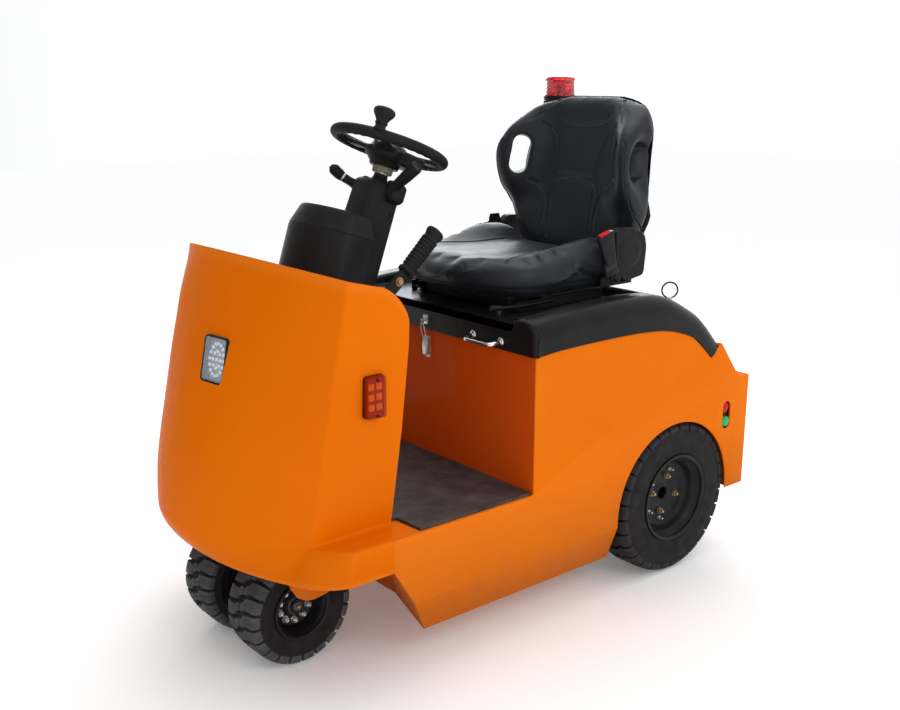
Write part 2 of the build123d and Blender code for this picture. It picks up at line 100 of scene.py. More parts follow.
# ---------------------------------------------------------------- material helpers
class Mat:
    """A node material with short helpers; coordinates are metres in the tug's frame."""

    def __init__(self, name):
        self.m = bpy.data.materials.new(name)
        self.m.use_nodes = True
        self.t = self.m.node_tree
        self.t.nodes.clear()
        out = self.t.nodes.new("ShaderNodeOutputMaterial")
        self.b = self.t.nodes.new("ShaderNodeBsdfPrincipled")
        self.t.links.new(self.b.outputs[0], out.inputs[0])
        self.co = self.t.nodes.new("ShaderNodeTexCoord").outputs["Object"]

    def set(self, **kw):
        names = {"coat": "Coat Weight", "coat_rough": "Coat Roughness", "metal": "Metallic", "rough": "Roughness",
                 "ior": "IOR", "sheen": "Sheen Weight", "sheen_rough": "Sheen Roughness", "spec": "Specular IOR Level",
                 "trans": "Transmission Weight", "alpha": "Alpha", "color": "Base Color", "emit": "Emission Strength",
                 "emit_color": "Emission Color", "aniso": "Anisotropic", "sss": "Subsurface Weight"}
        for k, v in kw.items():
            self.b.inputs[names[k]].default_value = v
        return self

    def link(self, out, socket):
        self.t.links.new(out, self.b.inputs[socket] if isinstance(socket, str) else socket)

    def noise(self, scale, detail=3.0, rough=0.55, stretch=None, distort=0.0):
        n = self.t.nodes.new("ShaderNodeTexNoise")
        n.inputs["Scale"].default_value = scale
        n.inputs["Detail"].default_value = detail
        n.inputs["Roughness"].default_value = rough
        n.inputs["Distortion"].default_value = distort
        co = self.co
        if stretch:
            mp = self.t.nodes.new("ShaderNodeMapping")
            mp.inputs["Scale"].default_value = stretch
            self.t.links.new(co, mp.inputs["Vector"])
            co = mp.outputs[0]
        self.t.links.new(co, n.inputs["Vector"])
        return n.outputs["Fac"]

    def voronoi(self, scale, feature="DISTANCE_TO_EDGE", rnd=1.0):
        n = self.t.nodes.new("ShaderNodeTexVoronoi")
        n.feature = feature
        n.inputs["Scale"].default_value = scale
        n.inputs["Randomness"].default_value = rnd
        self.t.links.new(self.co, n.inputs["Vector"])
        return n.outputs["Distance"]

    def wave(self, scale, direction="X", distort=0.0, profile="SIN"):
        n = self.t.nodes.new("ShaderNodeTexWave")
        n.bands_direction = direction
        n.wave_profile = profile
        n.inputs["Scale"].default_value = scale
        n.inputs["Distortion"].default_value = distort
        self.t.links.new(self.co, n.inputs["Vector"])
        return n.outputs["Fac"]

    def axis(self, which):
        s = self.t.nodes.new("ShaderNodeSeparateXYZ")
        self.t.links.new(self.co, s.inputs[0])
        return s.outputs[which]

    def remap(self, fac, a, b, c=0.0, d=1.0):
        n = self.t.nodes.new("ShaderNodeMapRange")
        self.t.links.new(fac, n.inputs["Value"])
        n.inputs["From Min"].default_value = a
        n.inputs["From Max"].default_value = b
        n.inputs["To Min"].default_value = c
        n.inputs["To Max"].default_value = d
        return n.outputs[0]

    def math(self, op, a, b=None, clamp=False):
        n = self.t.nodes.new("ShaderNodeMath")
        n.operation = op
        n.use_clamp = clamp
        for i, v in enumerate((a, b)):
            if v is None:
                continue
            if isinstance(v, (int, float)):
                n.inputs[i].default_value = v
            else:
                self.t.links.new(v, n.inputs[i])
        return n.outputs[0]

    def mix(self, fac, a, b):
        n = self.t.nodes.new("ShaderNodeMix")
        n.data_type = "RGBA"
        for sock, v in ((n.inputs[0], fac), (n.inputs[6], a), (n.inputs[7], b)):
            if isinstance(v, (int, float)):
                sock.default_value = v
            elif isinstance(v, tuple):
                sock.default_value = (*v, 1.0) if len(v) == 3 else v
            else:
                self.t.links.new(v, sock)
        return n.outputs[2]

    def edge(self, lo=0.52, hi=0.62):
        g = self.t.nodes.new("ShaderNodeNewGeometry")
        return self.remap(g.outputs["Pointiness"], lo, hi)

    def bump(self, height, strength, distance, after=None, radius=None):
        n = self.t.nodes.new("ShaderNodeBump")
        n.inputs["Strength"].default_value = strength
        n.inputs["Distance"].default_value = distance
        self.t.links.new(height, n.inputs["Height"])
        if after is None and radius:
            bv = self.t.nodes.new("ShaderNodeBevel")
            bv.samples = 4
            bv.inputs["Radius"].default_value = radius
            after = bv.outputs[0]
        if after is not None:
            self.t.links.new(after, n.inputs["Normal"])
        self.t.links.new(n.outputs[0], self.b.inputs["Normal"])
        return n.outputs[0]


def paint(name, lit, deep, grime=0.10, bevel=0.0022, low_painted_shade=0.50, edge_painted_highlight=0.08):
    m = Mat(name)
    m.set(coat=0.05, coat_rough=0.07, spec=0.002)
    c = m.mix(m.remap(m.noise(2.2, 4), 0.35, 0.68), deep, lit)
    z = m.axis("Z")
    # painted shade: the colour darkens towards the bottom (from 0.36 m down to 0.10 m), shade painted on the lower body
    c = m.mix(m.remap(z, 0.36, 0.10, 0.0, low_painted_shade), c, tuple(v * 0.22 for v in deep))
    low = m.remap(z, 0.34, 0.06)
    dirt = m.math("MULTIPLY", low, m.remap(m.noise(17, 6, 0.7), 0.42, 0.72), True)
    dirt = m.math("MULTIPLY", dirt, grime * 2.2, True)
    c = m.mix(dirt, c, (0.16, 0.085, 0.035))
    specks = m.math("MULTIPLY", m.remap(m.noise(150, 4, 0.75), 0.70, 0.78), grime, True)
    c = m.mix(specks, c, (0.25, 0.10, 0.03))
    # painted highlight: convex edges and creases (pointiness) are lightened towards bright orange, a highlight painted
    # into the colour
    c = m.mix(m.math("MULTIPLY", m.edge(0.506, 0.535), edge_painted_highlight, True), c, (0.98, 0.40, 0.085))
    m.link(c, "Base Color")
    m.link(m.remap(m.noise(9, 5, 0.6), 0.3, 0.75, 0.24, 0.36), "Roughness")
    h = m.math("ADD", m.math("MULTIPLY", m.noise(260, 2), 0.7), m.math("MULTIPLY", m.noise(14, 2), 1.3))
    m.bump(h, 0.10, 0.0012, radius=bevel)
    return m.m


def plastic(name, color, tint, rough=(0.34, 0.5), grain=900.0, grain_h=0.0003, strength=0.35, scuff=0.25, coat=0.0, bevel=0.0015, spec=0.12):
    m = Mat(name)
    m.set(coat=coat, coat_rough=0.22, spec=spec)
    c = m.mix(m.remap(m.noise(7, 5, 0.6), 0.35, 0.7), color, tint)
    rub = m.math("MULTIPLY", m.remap(m.noise(34, 7, 0.75, stretch=(1, 1, 3.5)), 0.60, 0.80), scuff, True)
    c = m.mix(rub, c, tuple(min(1, t * 2.4 + 0.015) for t in tint))
    m.link(c, "Base Color")
    m.link(m.remap(m.noise(22, 5, 0.65), 0.3, 0.75, rough[0], rough[1]), "Roughness")
    m.bump(m.math("ADD", m.noise(grain, 2, 0.6), m.math("MULTIPLY", m.noise(grain * 0.16, 2), 0.6)), strength, grain_h, radius=bevel)
    return m.m


def metal(name, color, dark, rough=(0.25, 0.42), grain=400.0, rust=0.0, stretch=None, bevel=0.0008):
    m = Mat(name)
    m.set(metal=1.0)
    c = m.mix(m.remap(m.noise(40, 5, 0.6), 0.3, 0.7), color, dark)
    if rust:
        r = m.math("MULTIPLY", m.remap(m.noise(26, 7, 0.72), 0.52, 0.72), rust, True)
        c = m.mix(r, c, (0.12, 0.05, 0.02))
        m.link(m.remap(r, 0, 1, 1.0, 0.2), "Metallic")
    m.link(c, "Base Color")
    m.link(m.remap(m.noise(90, 4, 0.6, stretch=stretch), 0.3, 0.75, rough[0], rough[1]), "Roughness")
    m.bump(m.noise(grain, 3, 0.6, stretch=stretch), 0.2, 0.0003, radius=bevel)
    return m.m


ORANGE = paint("body_orange", (0.775, 0.160, 0.0014), (0.725, 0.142, 0.0011))
# painted shade: a darker copy of the body orange for the seat box front, which sits in shade in the footwell
ORANGE_BOX_SHADED = paint("body_orange_box_painted_shade", (0.60, 0.064, 0.0008), (0.54, 0.054, 0.0006), edge_painted_highlight=0.05)
# painted shade: a much darker copy of the body orange for the wheel houses and the button plate behind the slot; the
# heavier grime is dirt
ORANGE_IN_SHADED = paint("body_orange_inner_painted_shade", (0.26, 0.036, 0.004), (0.17, 0.024, 0.004), 0.5)
BLACK = plastic("black_plastic", (0.0075, 0.0078, 0.0085), (0.0120, 0.0126, 0.0140), (0.30, 0.46), 700, 0.00022, 0.30, 0.18)
BLACK_FINE = plastic("black_plastic_fine", (0.0095, 0.0098, 0.0105), (0.0150, 0.0152, 0.0165), (0.36, 0.52), 1100, 0.0002, 0.4, 0.2)
BLACK_STEEL = plastic("black_steel", (0.0075, 0.0075, 0.0080), (0.0150, 0.0142, 0.0140), (0.32, 0.55), 420, 0.0004, 0.3, 0.30, coat=0.05)
GRIP = plastic("grip_rubber", (0.0100, 0.0100, 0.0105), (0.0170, 0.0168, 0.0170), (0.55, 0.75), 1300, 0.0003, 0.5, 0.3)
RIM = plastic("rim_black", (0.0070, 0.0072, 0.0080), (0.0140, 0.0134, 0.0130), (0.34, 0.6), 300, 0.0004, 0.25, 0.3, coat=0.10)
STEEL = metal("steel", (0.62, 0.62, 0.60), (0.42, 0.41, 0.39), (0.28, 0.5), rust=0.12)
CHROME = metal("chromed", (0.80, 0.81, 0.83), (0.66, 0.67, 0.69), (0.08, 0.2), 900)
CAST = metal("cast_steel", (0.16, 0.155, 0.15), (0.08, 0.078, 0.075), (0.5, 0.75), 160, rust=0.3)
BRASS = metal("yellow_zinc", (0.42, 0.29, 0.13), (0.26, 0.18, 0.09), (0.3, 0.5), rust=0.25)
ZINC = metal("bright_zinc", (0.70, 0.71, 0.72), (0.50, 0.50, 0.50), (0.22, 0.4), rust=0.08)
CREAM = plastic("bearing_ring", (0.215, 0.200, 0.150), (0.150, 0.140, 0.108), (0.45, 0.6), 500, 0.0002, 0.3, 0.4)
BATTERY = plastic("battery_case", (0.05, 0.055, 0.06), (0.07, 0.075, 0.08), (0.5, 0.7), 500, 0.0004, 0.3, 0.3)


def rubber(name, base, dusty, top=0.35):
    m = Mat(name)
    m.set(spec=0.10)
    c = m.mix(m.remap(m.noise(30, 6, 0.7), 0.38, 0.75), base, dusty)
    c = m.mix(m.math("MULTIPLY", m.edge(0.50, 0.60), top, True), c, tuple(v * 2.1 for v in dusty))
    spots = m.remap(m.noise(240, 4, 0.8), 0.66, 0.76)
    c = m.mix(m.math("MULTIPLY", spots, 0.35, True), c, (0.13, 0.12, 0.11))
    m.link(c, "Base Color")
    m.link(m.remap(m.noise(40, 5), 0.3, 0.75, 0.52, 0.82), "Roughness")
    m.bump(m.math("ADD", m.noise(500, 3, 0.7), m.math("MULTIPLY", m.noise(80, 3), 1.2)), 0.35, 0.0005)
    return m.m


TYRE = rubber("tyre_rubber", (0.0105, 0.0098, 0.0100), (0.0200, 0.0182, 0.0180))
TREAD = rubber("tyre_tread", (0.022, 0.0225, 0.0235), (0.062, 0.063, 0.066), 0.5)
TREAD_DARK = rubber("tyre_tread_rear", (0.0120, 0.0115, 0.0120), (0.0280, 0.0270, 0.0275), 0.4)


def mat_material():
    m = Mat("mat_rubber")
    c = m.mix(m.remap(m.noise(11, 8, 0.72), 0.36, 0.66), (0.012, 0.010, 0.010), (0.060, 0.048, 0.043))
    c = m.mix(m.math("MULTIPLY", m.remap(m.noise(5, 6, 0.7, distort=1.2), 0.50, 0.70), 0.65, True), c, (0.085, 0.070, 0.064))
    c = m.mix(m.math("MULTIPLY", m.remap(m.noise(190, 5, 0.8), 0.63, 0.72), 0.8, True), c, (0.30, 0.27, 0.25))
    c = m.mix(m.math("MULTIPLY", m.remap(m.noise(70, 6, 0.8, stretch=(1, 4, 1)), 0.66, 0.78), 0.7, True), c, (0.20, 0.18, 0.17))
    m.link(c, "Base Color")
    m.link(m.remap(m.noise(24, 6), 0.3, 0.75, 0.42, 0.85), "Roughness")
    lumps = m.math("ADD", m.noise(260, 4, 0.75), m.math("MULTIPLY", m.noise(28, 4), 1.6))
    ribs = m.math("MULTIPLY", m.wave(26, "Y"), 0.5)
    m.bump(m.math("ADD", lumps, ribs), 0.55, 0.0012)
    return m.m


MATTING = mat_material()


def vinyl(name, base, worn, wrinkle=0.5):
    m = Mat(name)
    m.set(sheen=0.03, sheen_rough=0.35, spec=0.30)
    c = m.mix(m.remap(m.noise(6, 4, 0.6), 0.35, 0.7), base, worn)
    c = m.mix(m.math("MULTIPLY", m.remap(m.voronoi(620), 0.0, 0.12, 1.0, 0.0), 0.25, True), c, tuple(v * 0.45 for v in base))
    m.link(c, "Base Color")
    m.link(m.remap(m.noise(18, 5, 0.6), 0.3, 0.75, 0.36, 0.52), "Roughness")
    pebbles = m.remap(m.voronoi(620), 0.0, 0.25)
    folds = m.math("MULTIPLY", m.noise(16, 4, 0.6, stretch=(1.0, 1.6, 1.0), distort=0.8), wrinkle * 6)
    m.bump(m.math("ADD", m.math("MULTIPLY", pebbles, 0.4), folds), 0.12, 0.0010)
    return m.m


VINYL = vinyl("seat_vinyl", (0.0072, 0.0090, 0.0125), (0.0122, 0.0150, 0.0200))


def lens(name, color, rough=0.08, cells=0.0):
    m = Mat(name)
    m.set(trans=0.72, ior=1.49, coat=0.4, coat_rough=0.05)
    c = m.mix(m.remap(m.noise(30, 4), 0.3, 0.7), color, tuple(v * 0.82 for v in color))
    m.link(c, "Base Color")
    m.link(m.remap(m.noise(50, 4), 0.3, 0.75, rough, rough + 0.1), "Roughness")
    m.bump(m.noise(120, 3), 0.08, 0.0006)
    return m.m


CLEAR = lens("lamp_clear", (0.90, 0.93, 0.96), 0.05)
AMBER = lens("lamp_amber", (0.95, 0.22, 0.01), 0.12)
RED = lens("lamp_red", (0.74, 0.006, 0.016), 0.12)
RED_BUTTON = plastic("button_red", (0.50, 0.006, 0.010), (0.58, 0.012, 0.016), (0.25, 0.4), 500, 0.0001, 0.2, 0.1)
GREEN_BUTTON = plastic("button_green", (0.015, 0.40, 0.12), (0.02, 0.48, 0.15), (0.25, 0.4), 500, 0.0001, 0.2, 0.1)
floor_mat_m = Mat("studio_floor")
floor_mat_m.link(floor_mat_m.mix(floor_mat_m.noise(0.6, 2), (0.975, 0.975, 0.975), (0.985, 0.985, 0.985)), "Base Color")
floor_mat_m.set(rough=0.9, spec=0.1, emit=0.11, emit_color=(1.0, 1.0, 1.0, 1.0))
floor_mesh.materials.append(floor_mat_m.m)


# ---------------------------------------------------------------- mesh helpers (all in mm from the rear axle)
def P(x, y, z):
    return Vector(((x + FXM) / 1000.0, y / 1000.0, z / 1000.0))


def finish_piece(bm, name, material, body="chassis", replaces=(), sharp=35.0, merge=0.0, recalc=True, flip=False):
    if merge:
        bmesh.ops.remove_doubles(bm, verts=bm.verts, dist=merge)
    if recalc:
        bmesh.ops.recalc_face_normals(bm, faces=bm.faces)
    if flip:
        bmesh.ops.reverse_faces(bm, faces=bm.faces)
    for v in bm.verts:
        v.co = P(*v.co)
    me = bpy.data.meshes.new(name)
    bm.to_mesh(me)
    bm.free()
    me.materials.append(material)
    me.shade_smooth()
    me.set_sharp_from_angle(angle=math.radians(sharp))
    ob = bpy.data.objects.new(name, me)
    scene.collection.objects.link(ob)
    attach(ob, body)
    if replaces:
        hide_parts(*replaces)
    return ob


def apply_modifiers(ob, sharp=35.0):
    bpy.context.view_layer.update()
    dg = bpy.context.evaluated_depsgraph_get()
    me = bpy.data.meshes.new_from_object(ob.evaluated_get(dg))
    old = ob.data
    ob.modifiers.clear()
    ob.data = me
    me.shade_smooth()
    me.set_sharp_from_angle(angle=math.radians(sharp))
    bpy.data.meshes.remove(old)
    return ob


def grid_faces(bm, rows, close_u=False, close_v=False):
    """rows: lists of BMVerts of equal length."""
    nr, nc = len(rows), len(rows[0])
    for i in range(nr if close_v else nr - 1):
        for j in range(nc if close_u else nc - 1):
            q = [rows[i][j], rows[i][(j + 1) % nc], rows[(i + 1) % nr][(j + 1) % nc], rows[(i + 1) % nr][j]]
            uniq = []
            for v in q:
                if v not in uniq:
                    uniq.append(v)
            if len(uniq) >= 3:
                try:
                    bm.faces.new(uniq)
                except ValueError:
                    pass


def add_loft(bm, sections, caps=(True, True), closed=True):
    rows = [[bm.verts.new(p) for p in sec] for sec in sections]
    grid_faces(bm, rows, close_u=closed)
    if caps[0]:
        bm.faces.new(list(reversed(rows[0])))
    if caps[1]:
        bm.faces.new(rows[-1])
    return rows


def add_box(bm, x0, x1, y0, y1, z0, z1, bevel=0.0, seg=2, mtx=None):
    c = [(x0, y0), (x1, y0), (x1, y1), (x0, y1)]
    lo = [bm.verts.new((x, y, z0)) for x, y in c]
    hi = [bm.verts.new((x, y, z1)) for x, y in c]
    fs = [bm.faces.new(list(reversed(lo))), bm.faces.new(hi)]
    for i in range(4):
        fs.append(bm.faces.new([lo[i], lo[(i + 1) % 4], hi[(i + 1) % 4], hi[i]]))
    verts = lo + hi
    if bevel:
        es = list({e for f in fs for e in f.edges})
        res = bmesh.ops.bevel(bm, geom=es, offset=bevel, segments=seg, profile=0.5, affect="EDGES", clamp_overlap=True)
        verts = list({v for f in res["faces"] for v in f.verts} | {v for v in verts if v.is_valid})
    if mtx is not None:
        for v in verts:
            v.co = mtx @ v.co
    return verts


def frame_at(origin, zdir, xdir=(1, 0, 0)):
    z = Vector(zdir).normalized()
    x = Vector(xdir)
    x = (x - z * x.dot(z))
    if x.length < 1e-6:
        x = Vector((0, 1, 0)) - z * z.y
    x.normalize()
    y = z.cross(x)
    return Matrix(((x.x, y.x, z.x, origin[0]), (x.y, y.y, z.y, origin[1]), (x.z, y.z, z.z, origin[2]), (0, 0, 0, 1)))


def add_turned(bm, mtx, profile, n=48, close=False, phase=0.0):
    """Profile (r, h) about the local z axis. r == 0 makes a pole."""
    rows = []
    for rr, h in profile:
        if rr <= 1e-6:
            v = bm.verts.new(mtx @ Vector((0, 0, h)))
            rows.append([v] * n)
        else:
            rows.append([bm.verts.new(mtx @ Vector((rr * math.cos(phase + 2 * math.pi * k / n), rr * math.sin(phase + 2 * math.pi * k / n), h))) for k in range(n)])
    grid_faces(bm, rows, close_u=True, close_v=close)


def smooth_path(points, steps=6):
    """Catmull-Rom through the points."""
    pts = [Vector(p) for p in points]
    out = []
    for i in range(len(pts) - 1):
        p0 = pts[max(i - 1, 0)]
        p1, p2 = pts[i], pts[i + 1]
        p3 = pts[min(i + 2, len(pts) - 1)]
        for k in range(steps):
            t = k / steps
            out.append(0.5 * ((2 * p1) + (p2 - p0) * t + (2 * p0 - 5 * p1 + 4 * p2 - p3) * t * t + (3 * p1 - p0 - 3 * p2 + p3) * t ** 3))
    out.append(pts[-1])
    return out


def add_tube(bm, points, radius, n=12, caps=True, closed=False):
    """Tube along points; radius is a number or one per point."""
    pts = [Vector(p) for p in points]
    m = len(pts)
    rad = [radius] * m if isinstance(radius, (int, float)) else list(radius)
    prev = None
    rows = []
    for i, p in enumerate(pts):
        if closed:
            t = (pts[(i + 1) % m] - pts[i - 1]).normalized()
        else:
            t = (pts[min(i + 1, m - 1)] - pts[max(i - 1, 0)]).normalized()
        if prev is None:
            a = Vector((0, 0, 1)) if abs(t.z) < 0.9 else Vector((1, 0, 0))
            prev = (a - t * a.dot(t)).normalized()
        else:
            prev = (prev - t * prev.dot(t)).normalized()
        q = t.cross(prev)
        rows.append([bm.verts.new(p + (prev * math.cos(2 * math.pi * k / n) + q * math.sin(2 * math.pi * k / n)) * rad[i]) for k in range(n)])
    grid_faces(bm, rows, close_u=True, close_v=closed)
    if caps and not closed:
        bm.faces.new(list(reversed(rows[0])))
        bm.faces.new(rows[-1])
    return rows


def add_hex(bm, mtx, across, h, chamfer=0.8):
    r = across / math.sqrt(3)
    add_turned(bm, mtx, [(0, 0), (r, 0), (r, h - chamfer), (r - chamfer, h), (0, h)], n=6)


def add_nut(bm, mtx, across=17.0, h=10.0, stud=6.0, out=8.0, washer=13.0):
    add_turned(bm, mtx, [(0, 0), (washer, 0), (washer, 1.8), (0, 1.8)], n=24)
    add_hex(bm, mtx @ Matrix.Translation((0, 0, 1.8)), across, h)
    add_turned(bm, mtx @ Matrix.Translation((0, 0, 1.8 + h)), [(0, 0), (stud, 0), (stud, out - 1), (stud - 1, out), (0, out)], n=16)


def bevel_sharp(bm, width, seg=2, angle=30.0, keep=None):
    bmesh.ops.recalc_face_normals(bm, faces=bm.faces)
    es = [e for e in bm.edges if len(e.link_faces) == 2 and e.calc_face_angle(0.0) > math.radians(angle) and (keep is None or keep(e))]
    bmesh.ops.bevel(bm, geom=es, offset=width, segments=seg, profile=0.5, affect="EDGES", clamp_overlap=True)


def lerp(a, b, t):
    return a + (b - a) * t


def smooth01(t):
    t = max(0.0, min(1.0, t))
    return t * t * (3 - 2 * t)


def table_at(rows, key, col):
    """Smooth cubic through a short table; column 0 is the key."""
    pts = [(r[0], r[col]) for r in rows]
    total = 0.0
    for i, (xi, yi) in enumerate(pts):
        w = yi
        for j, (xj, _) in enumerate(pts):
            if j != i:
                w *= (key - xj) / (xi - xj)
        total += w
    return total


# ---------------------------------------------------------------- front cowl and nose, one welded skin
COWL_SECTIONS = [
    # z,      x_crease, y_crease, bow
    (349.0, 1089.0, 306.0, 157.0),
    (470.0, 1071.0, 313.0, 163.0),
    (650.0, 1043.0, 323.0, 140.0),
    (960.0, 996.0, 338.0, 94.0),
]
APRON_SECTIONS = [
    # z,    tip,    x_a,    y_a,   x_m,    y_m,   x_b,    y_b
    (276.0, 1203.0, 1132.0, 304.0, 1100.0, 354.0, 1045.0, 385.0),
    (300.0, 1224.0, 1127.0, 304.0, 1097.0, 354.0, 1043.0, 385.0),
    (324.0, 1238.0, 1115.0, 304.0, 1087.0, 352.0, 1040.0, 385.0),
    (349.0, 1246.0, 1089.0, 306.0, 1069.0, 346.0, 1036.0, 385.0),
]
NF, NC, NS = 30, 12, 26
SOFT = 7.0                      # how far the crease rounding reaches


def arc3(a, m, b, t):
    """Point at t on the circle through three plan points."""
    ax, ay, bx, by, cx, cy = a[0], a[1], m[0], m[1], b[0], b[1]
    d = 2 * (ax * (by - cy) + bx * (cy - ay) + cx * (ay - by))
    if abs(d) < 1e-6:
        return (lerp(ax, cx, t), lerp(ay, cy, t))
    ux = ((ax * ax + ay * ay) * (by - cy) + (bx * bx + by * by) * (cy - ay) + (cx * cx + cy * cy) * (ay - by)) / d
    uy = ((ax * ax + ay * ay) * (cx - bx) + (bx * bx + by * by) * (ax - cx) + (cx * cx + cy * cy) * (bx - ax)) / d
    r = math.hypot(ax - ux, ay - uy)
    t0 = math.atan2(ay - uy, ax - ux)
    t1 = math.atan2(cy - uy, cx - ux)
    while t1 < t0 - math.pi:
        t1 += 2 * math.pi
    while t1 > t0 + math.pi:
        t1 -= 2 * math.pi
    an = lerp(t0, t1, t)
    return (ux + r * math.cos(an), uy + r * math.sin(an))


def rear_edge_x(z):
    if z > 748:
        return 850.0
    if z > 562:
        return lerp(864.0, 850.0, (z - 562) / 186)
    return lerp(887.0, 864.0, (z - 349) / 213)


def cowl_top_z(x):
    if x >= 1005:
        return 901.7 + (x - 1005) * 0.343
    if x >= 929:
        return 882 + (x - 929) * 19.7 / 76
    t = max(0.0, min(1.0, (929 - x) / 79.0))
    return 797 + 85 * max(0.0, 1 - t ** 1.55) ** 0.645 if t < 1 else 797.0


def upper(kind, f, z):
    """Cowl plan point at height z. kind 0 front arc, 1 soft crease, 2 side face."""
    xc, yc, bow = (table_at(COWL_SECTIONS, z, k) for k in (1, 2, 3))
    r = (yc * yc + bow * bow) / (2 * bow)
    cx = xc + bow - r
    th = math.atan2(yc, r - bow)
    tha = th - SOFT / r
    a = (cx + r * math.cos(tha), r * math.sin(tha))
    if kind == 0:
        return (cx + r * math.cos(tha * f), r * math.sin(tha * f))
    bpt = (xc - SOFT, yc)
    if kind == 1:
        return ((1 - f) ** 2 * a[0] + 2 * f * (1 - f) * xc + f * f * bpt[0], (1 - f) ** 2 * a[1] + 2 * f * (1 - f) * yc + f * f * bpt[1])
    return (lerp(bpt[0], rear_edge_x(z), f), yc)


def lower(kind, f, z):
    tip, xa, ya, xm, ym, xb, yb = (table_at(APRON_SECTIONS, z, k) for k in range(1, 8))
    bow = tip - xa
    r = (ya * ya + bow * bow) / (2 * bow)
    cx = tip - r
    tha = math.atan2(ya, r - bow) - SOFT / r
    if kind == 0:
        return (cx + r * math.cos(tha * f), r * math.sin(tha * f))
    a = (cx + r * math.cos(tha), r * math.sin(tha))
    if kind == 1:
        return arc3(a, (xm, ym), (xb, yb), f)
    return (lerp(xb, 937.0, f), yb)


def nose_columns():
    cols = [(0, j / NF) for j in range(NF)]
    cols += [(1, j / NC) for j in range(NC)]
    cols += [(2, math.sin(math.pi / 2 * j / NS) * 0.75 + 0.25 * j / NS) for j in range(NS + 1)]
    return cols


LEDGE = 349.8
FIL = 9.0


def nose_column(kind, f):
    """Points of one column from the top edge to the lower lip."""
    pts = []
    z = 900.0
    for _ in range(30):
        z = cowl_top_z(upper(kind, f, z)[0])
    top = z
    nz = 34
    for i in range(nz + 1):
        zz = lerp(top, LEDGE + FIL, i / nz)
        x, y = upper(kind, f, zz)
        pts.append((x, y, zz))
    ux, uy = upper(kind, f, LEDGE)
    lx, ly = lower(kind, f, LEDGE)
    dx, dy = lx - ux, ly - uy
    d = math.hypot(dx, dy)
    nx, ny = (dx / d, dy / d) if d > 1e-6 else (0.0, 0.0)
    r = min(FIL, d / 2)
    flat = 2.5 * (1 - min(1.0, d / 14.0))
    for i in range(1, 6):
        a = math.pi / 2 * i / 5
        v = FIL * (1 - math.sin(a))
        v = lerp(v, v * (FIL - flat) / FIL + flat, 1.0)
        x, y = upper(kind, f, LEDGE + v)
        h = r * (1 - math.cos(a))
        pts.append((x + nx * h, y + ny * h, LEDGE + v))
    for i in range(1, 4):
        t = i / 4
        h = lerp(r, d - r, t)
        v = lerp(flat, -flat, t)
        x, y = upper(kind, f, LEDGE + max(v, 0.0))
        pts.append((x + nx * h, y + ny * h, LEDGE + v))
    for i in range(0, 6):
        a = math.pi / 2 * i / 5
        v = -FIL * (1 - math.cos(a))
        v = v * (FIL - flat) / FIL - flat
        x, y = lower(kind, f, LEDGE + v)
        h = r * math.sin(a) - r
        pts.append((x + nx * h, y + ny * h, LEDGE + v))
    for i in range(1, 11):
        zz = lerp(LEDGE - FIL, 276.0, i / 10)
        x, y = lower(kind, f, zz)
        pts.append((x, y, zz))
    return pts


def build_nose():
    bm = bmesh.new()
    half = [nose_column(k, f) for k, f in nose_columns()]
    cols = [[(x, -y, z) for x, y, z in c] for c in reversed(half[1:])] + half
    rows = [[bm.verts.new(c[i]) for c in cols] for i in range(len(half[0]))]
    for v in bm.verts:                # the far wing is cut a little lower
        if v.co.y < -250:
            v.co.z -= 9.0 * smooth01((1000 - v.co.x) / 70) * smooth01((v.co.z - 700) / 150)
        w = smooth01((-v.co.y - 120) / 120) * smooth01((v.co.x - 950) / 70)
        w *= smooth01((900 - v.co.z) / 110) * (0.35 + 0.65 * smooth01((v.co.z - 520) / 200)) * smooth01((v.co.z - 352) / 90)
        v.co.x += 8.0 * w
        v.co.y -= 6.5 * w
    grid_faces(bm, rows)
    bm.normal_update()
    best = max(bm.faces, key=lambda fc: fc.calc_center_median().x)
    if best.normal.x < 0:
        bmesh.ops.reverse_faces(bm, faces=bm.faces)
    ob = finish_piece(bm, "nose_skin", ORANGE, replaces=("front_cowl", "nose_apron"), merge=0.02, recalc=False, sharp=50)
    sol = ob.modifiers.new("sheet", "SOLIDIFY")
    sol.thickness = 0.004
    sol.offset = -1
    bm = bmesh.new()
    add_box(bm, -80, 80, -LAMP_W / 2 + 0.9, LAMP_W / 2 - 0.9, -LAMP_H / 2 + 0.9, LAMP_H / 2 - 0.9)
    vert_edges = [e for e in bm.edges if abs(e.verts[0].co.x - e.verts[1].co.x) > 100]
    bmesh.ops.bevel(bm, geom=vert_edges, offset=9, segments=5, profile=0.5, affect="EDGES")
    bmesh.ops.recalc_face_normals(bm, faces=bm.faces)
    for v in bm.verts:
        v.co = P(*(LAMP_M @ v.co))
    me = bpy.data.meshes.new("lamp_cut")
    bm.to_mesh(me)
    bm.free()
    cut = bpy.data.objects.new("lamp_cut", me)
    scene.collection.objects.link(cut)
    bo = ob.modifiers.new("lamp_opening", "BOOLEAN")
    bo.operation = "DIFFERENCE"
    bo.object = cut
    bo.solver = "EXACT"
    apply_modifiers(ob, 50)
    bpy.data.objects.remove(cut)
    bpy.data.meshes.remove(me)
    return ob


LAMP_W, LAMP_H = 80.0, 101.0
LAMP_M = Matrix.Translation((1155.8, 51.0, 712.0)) @ Matrix.Rotation(math.radians(7.6), 4, "Z") @ Matrix.Rotation(math.radians(-12.4), 4, "Y")
nose = build_nose()

# ---------------------------------------------------------------- side panels with their skirts
SIDE_TOP = [(533, 678), (459, 685), (325, 687), (183, 685), (76, 675), (-13, 649), (-56, 621), (-107, 576), (-151, 609), (-216, 527), (-235, 503)]
ARCH_X, ARCH_Z, ARCH_R = 16.0, 200.0, 219.0


def apron_edge_z():
    col = nose_column(2, 1.0)
    return [p[2] for p in col if abs(p[0] - 937) < 0.01 and p[2] <= LEDGE]


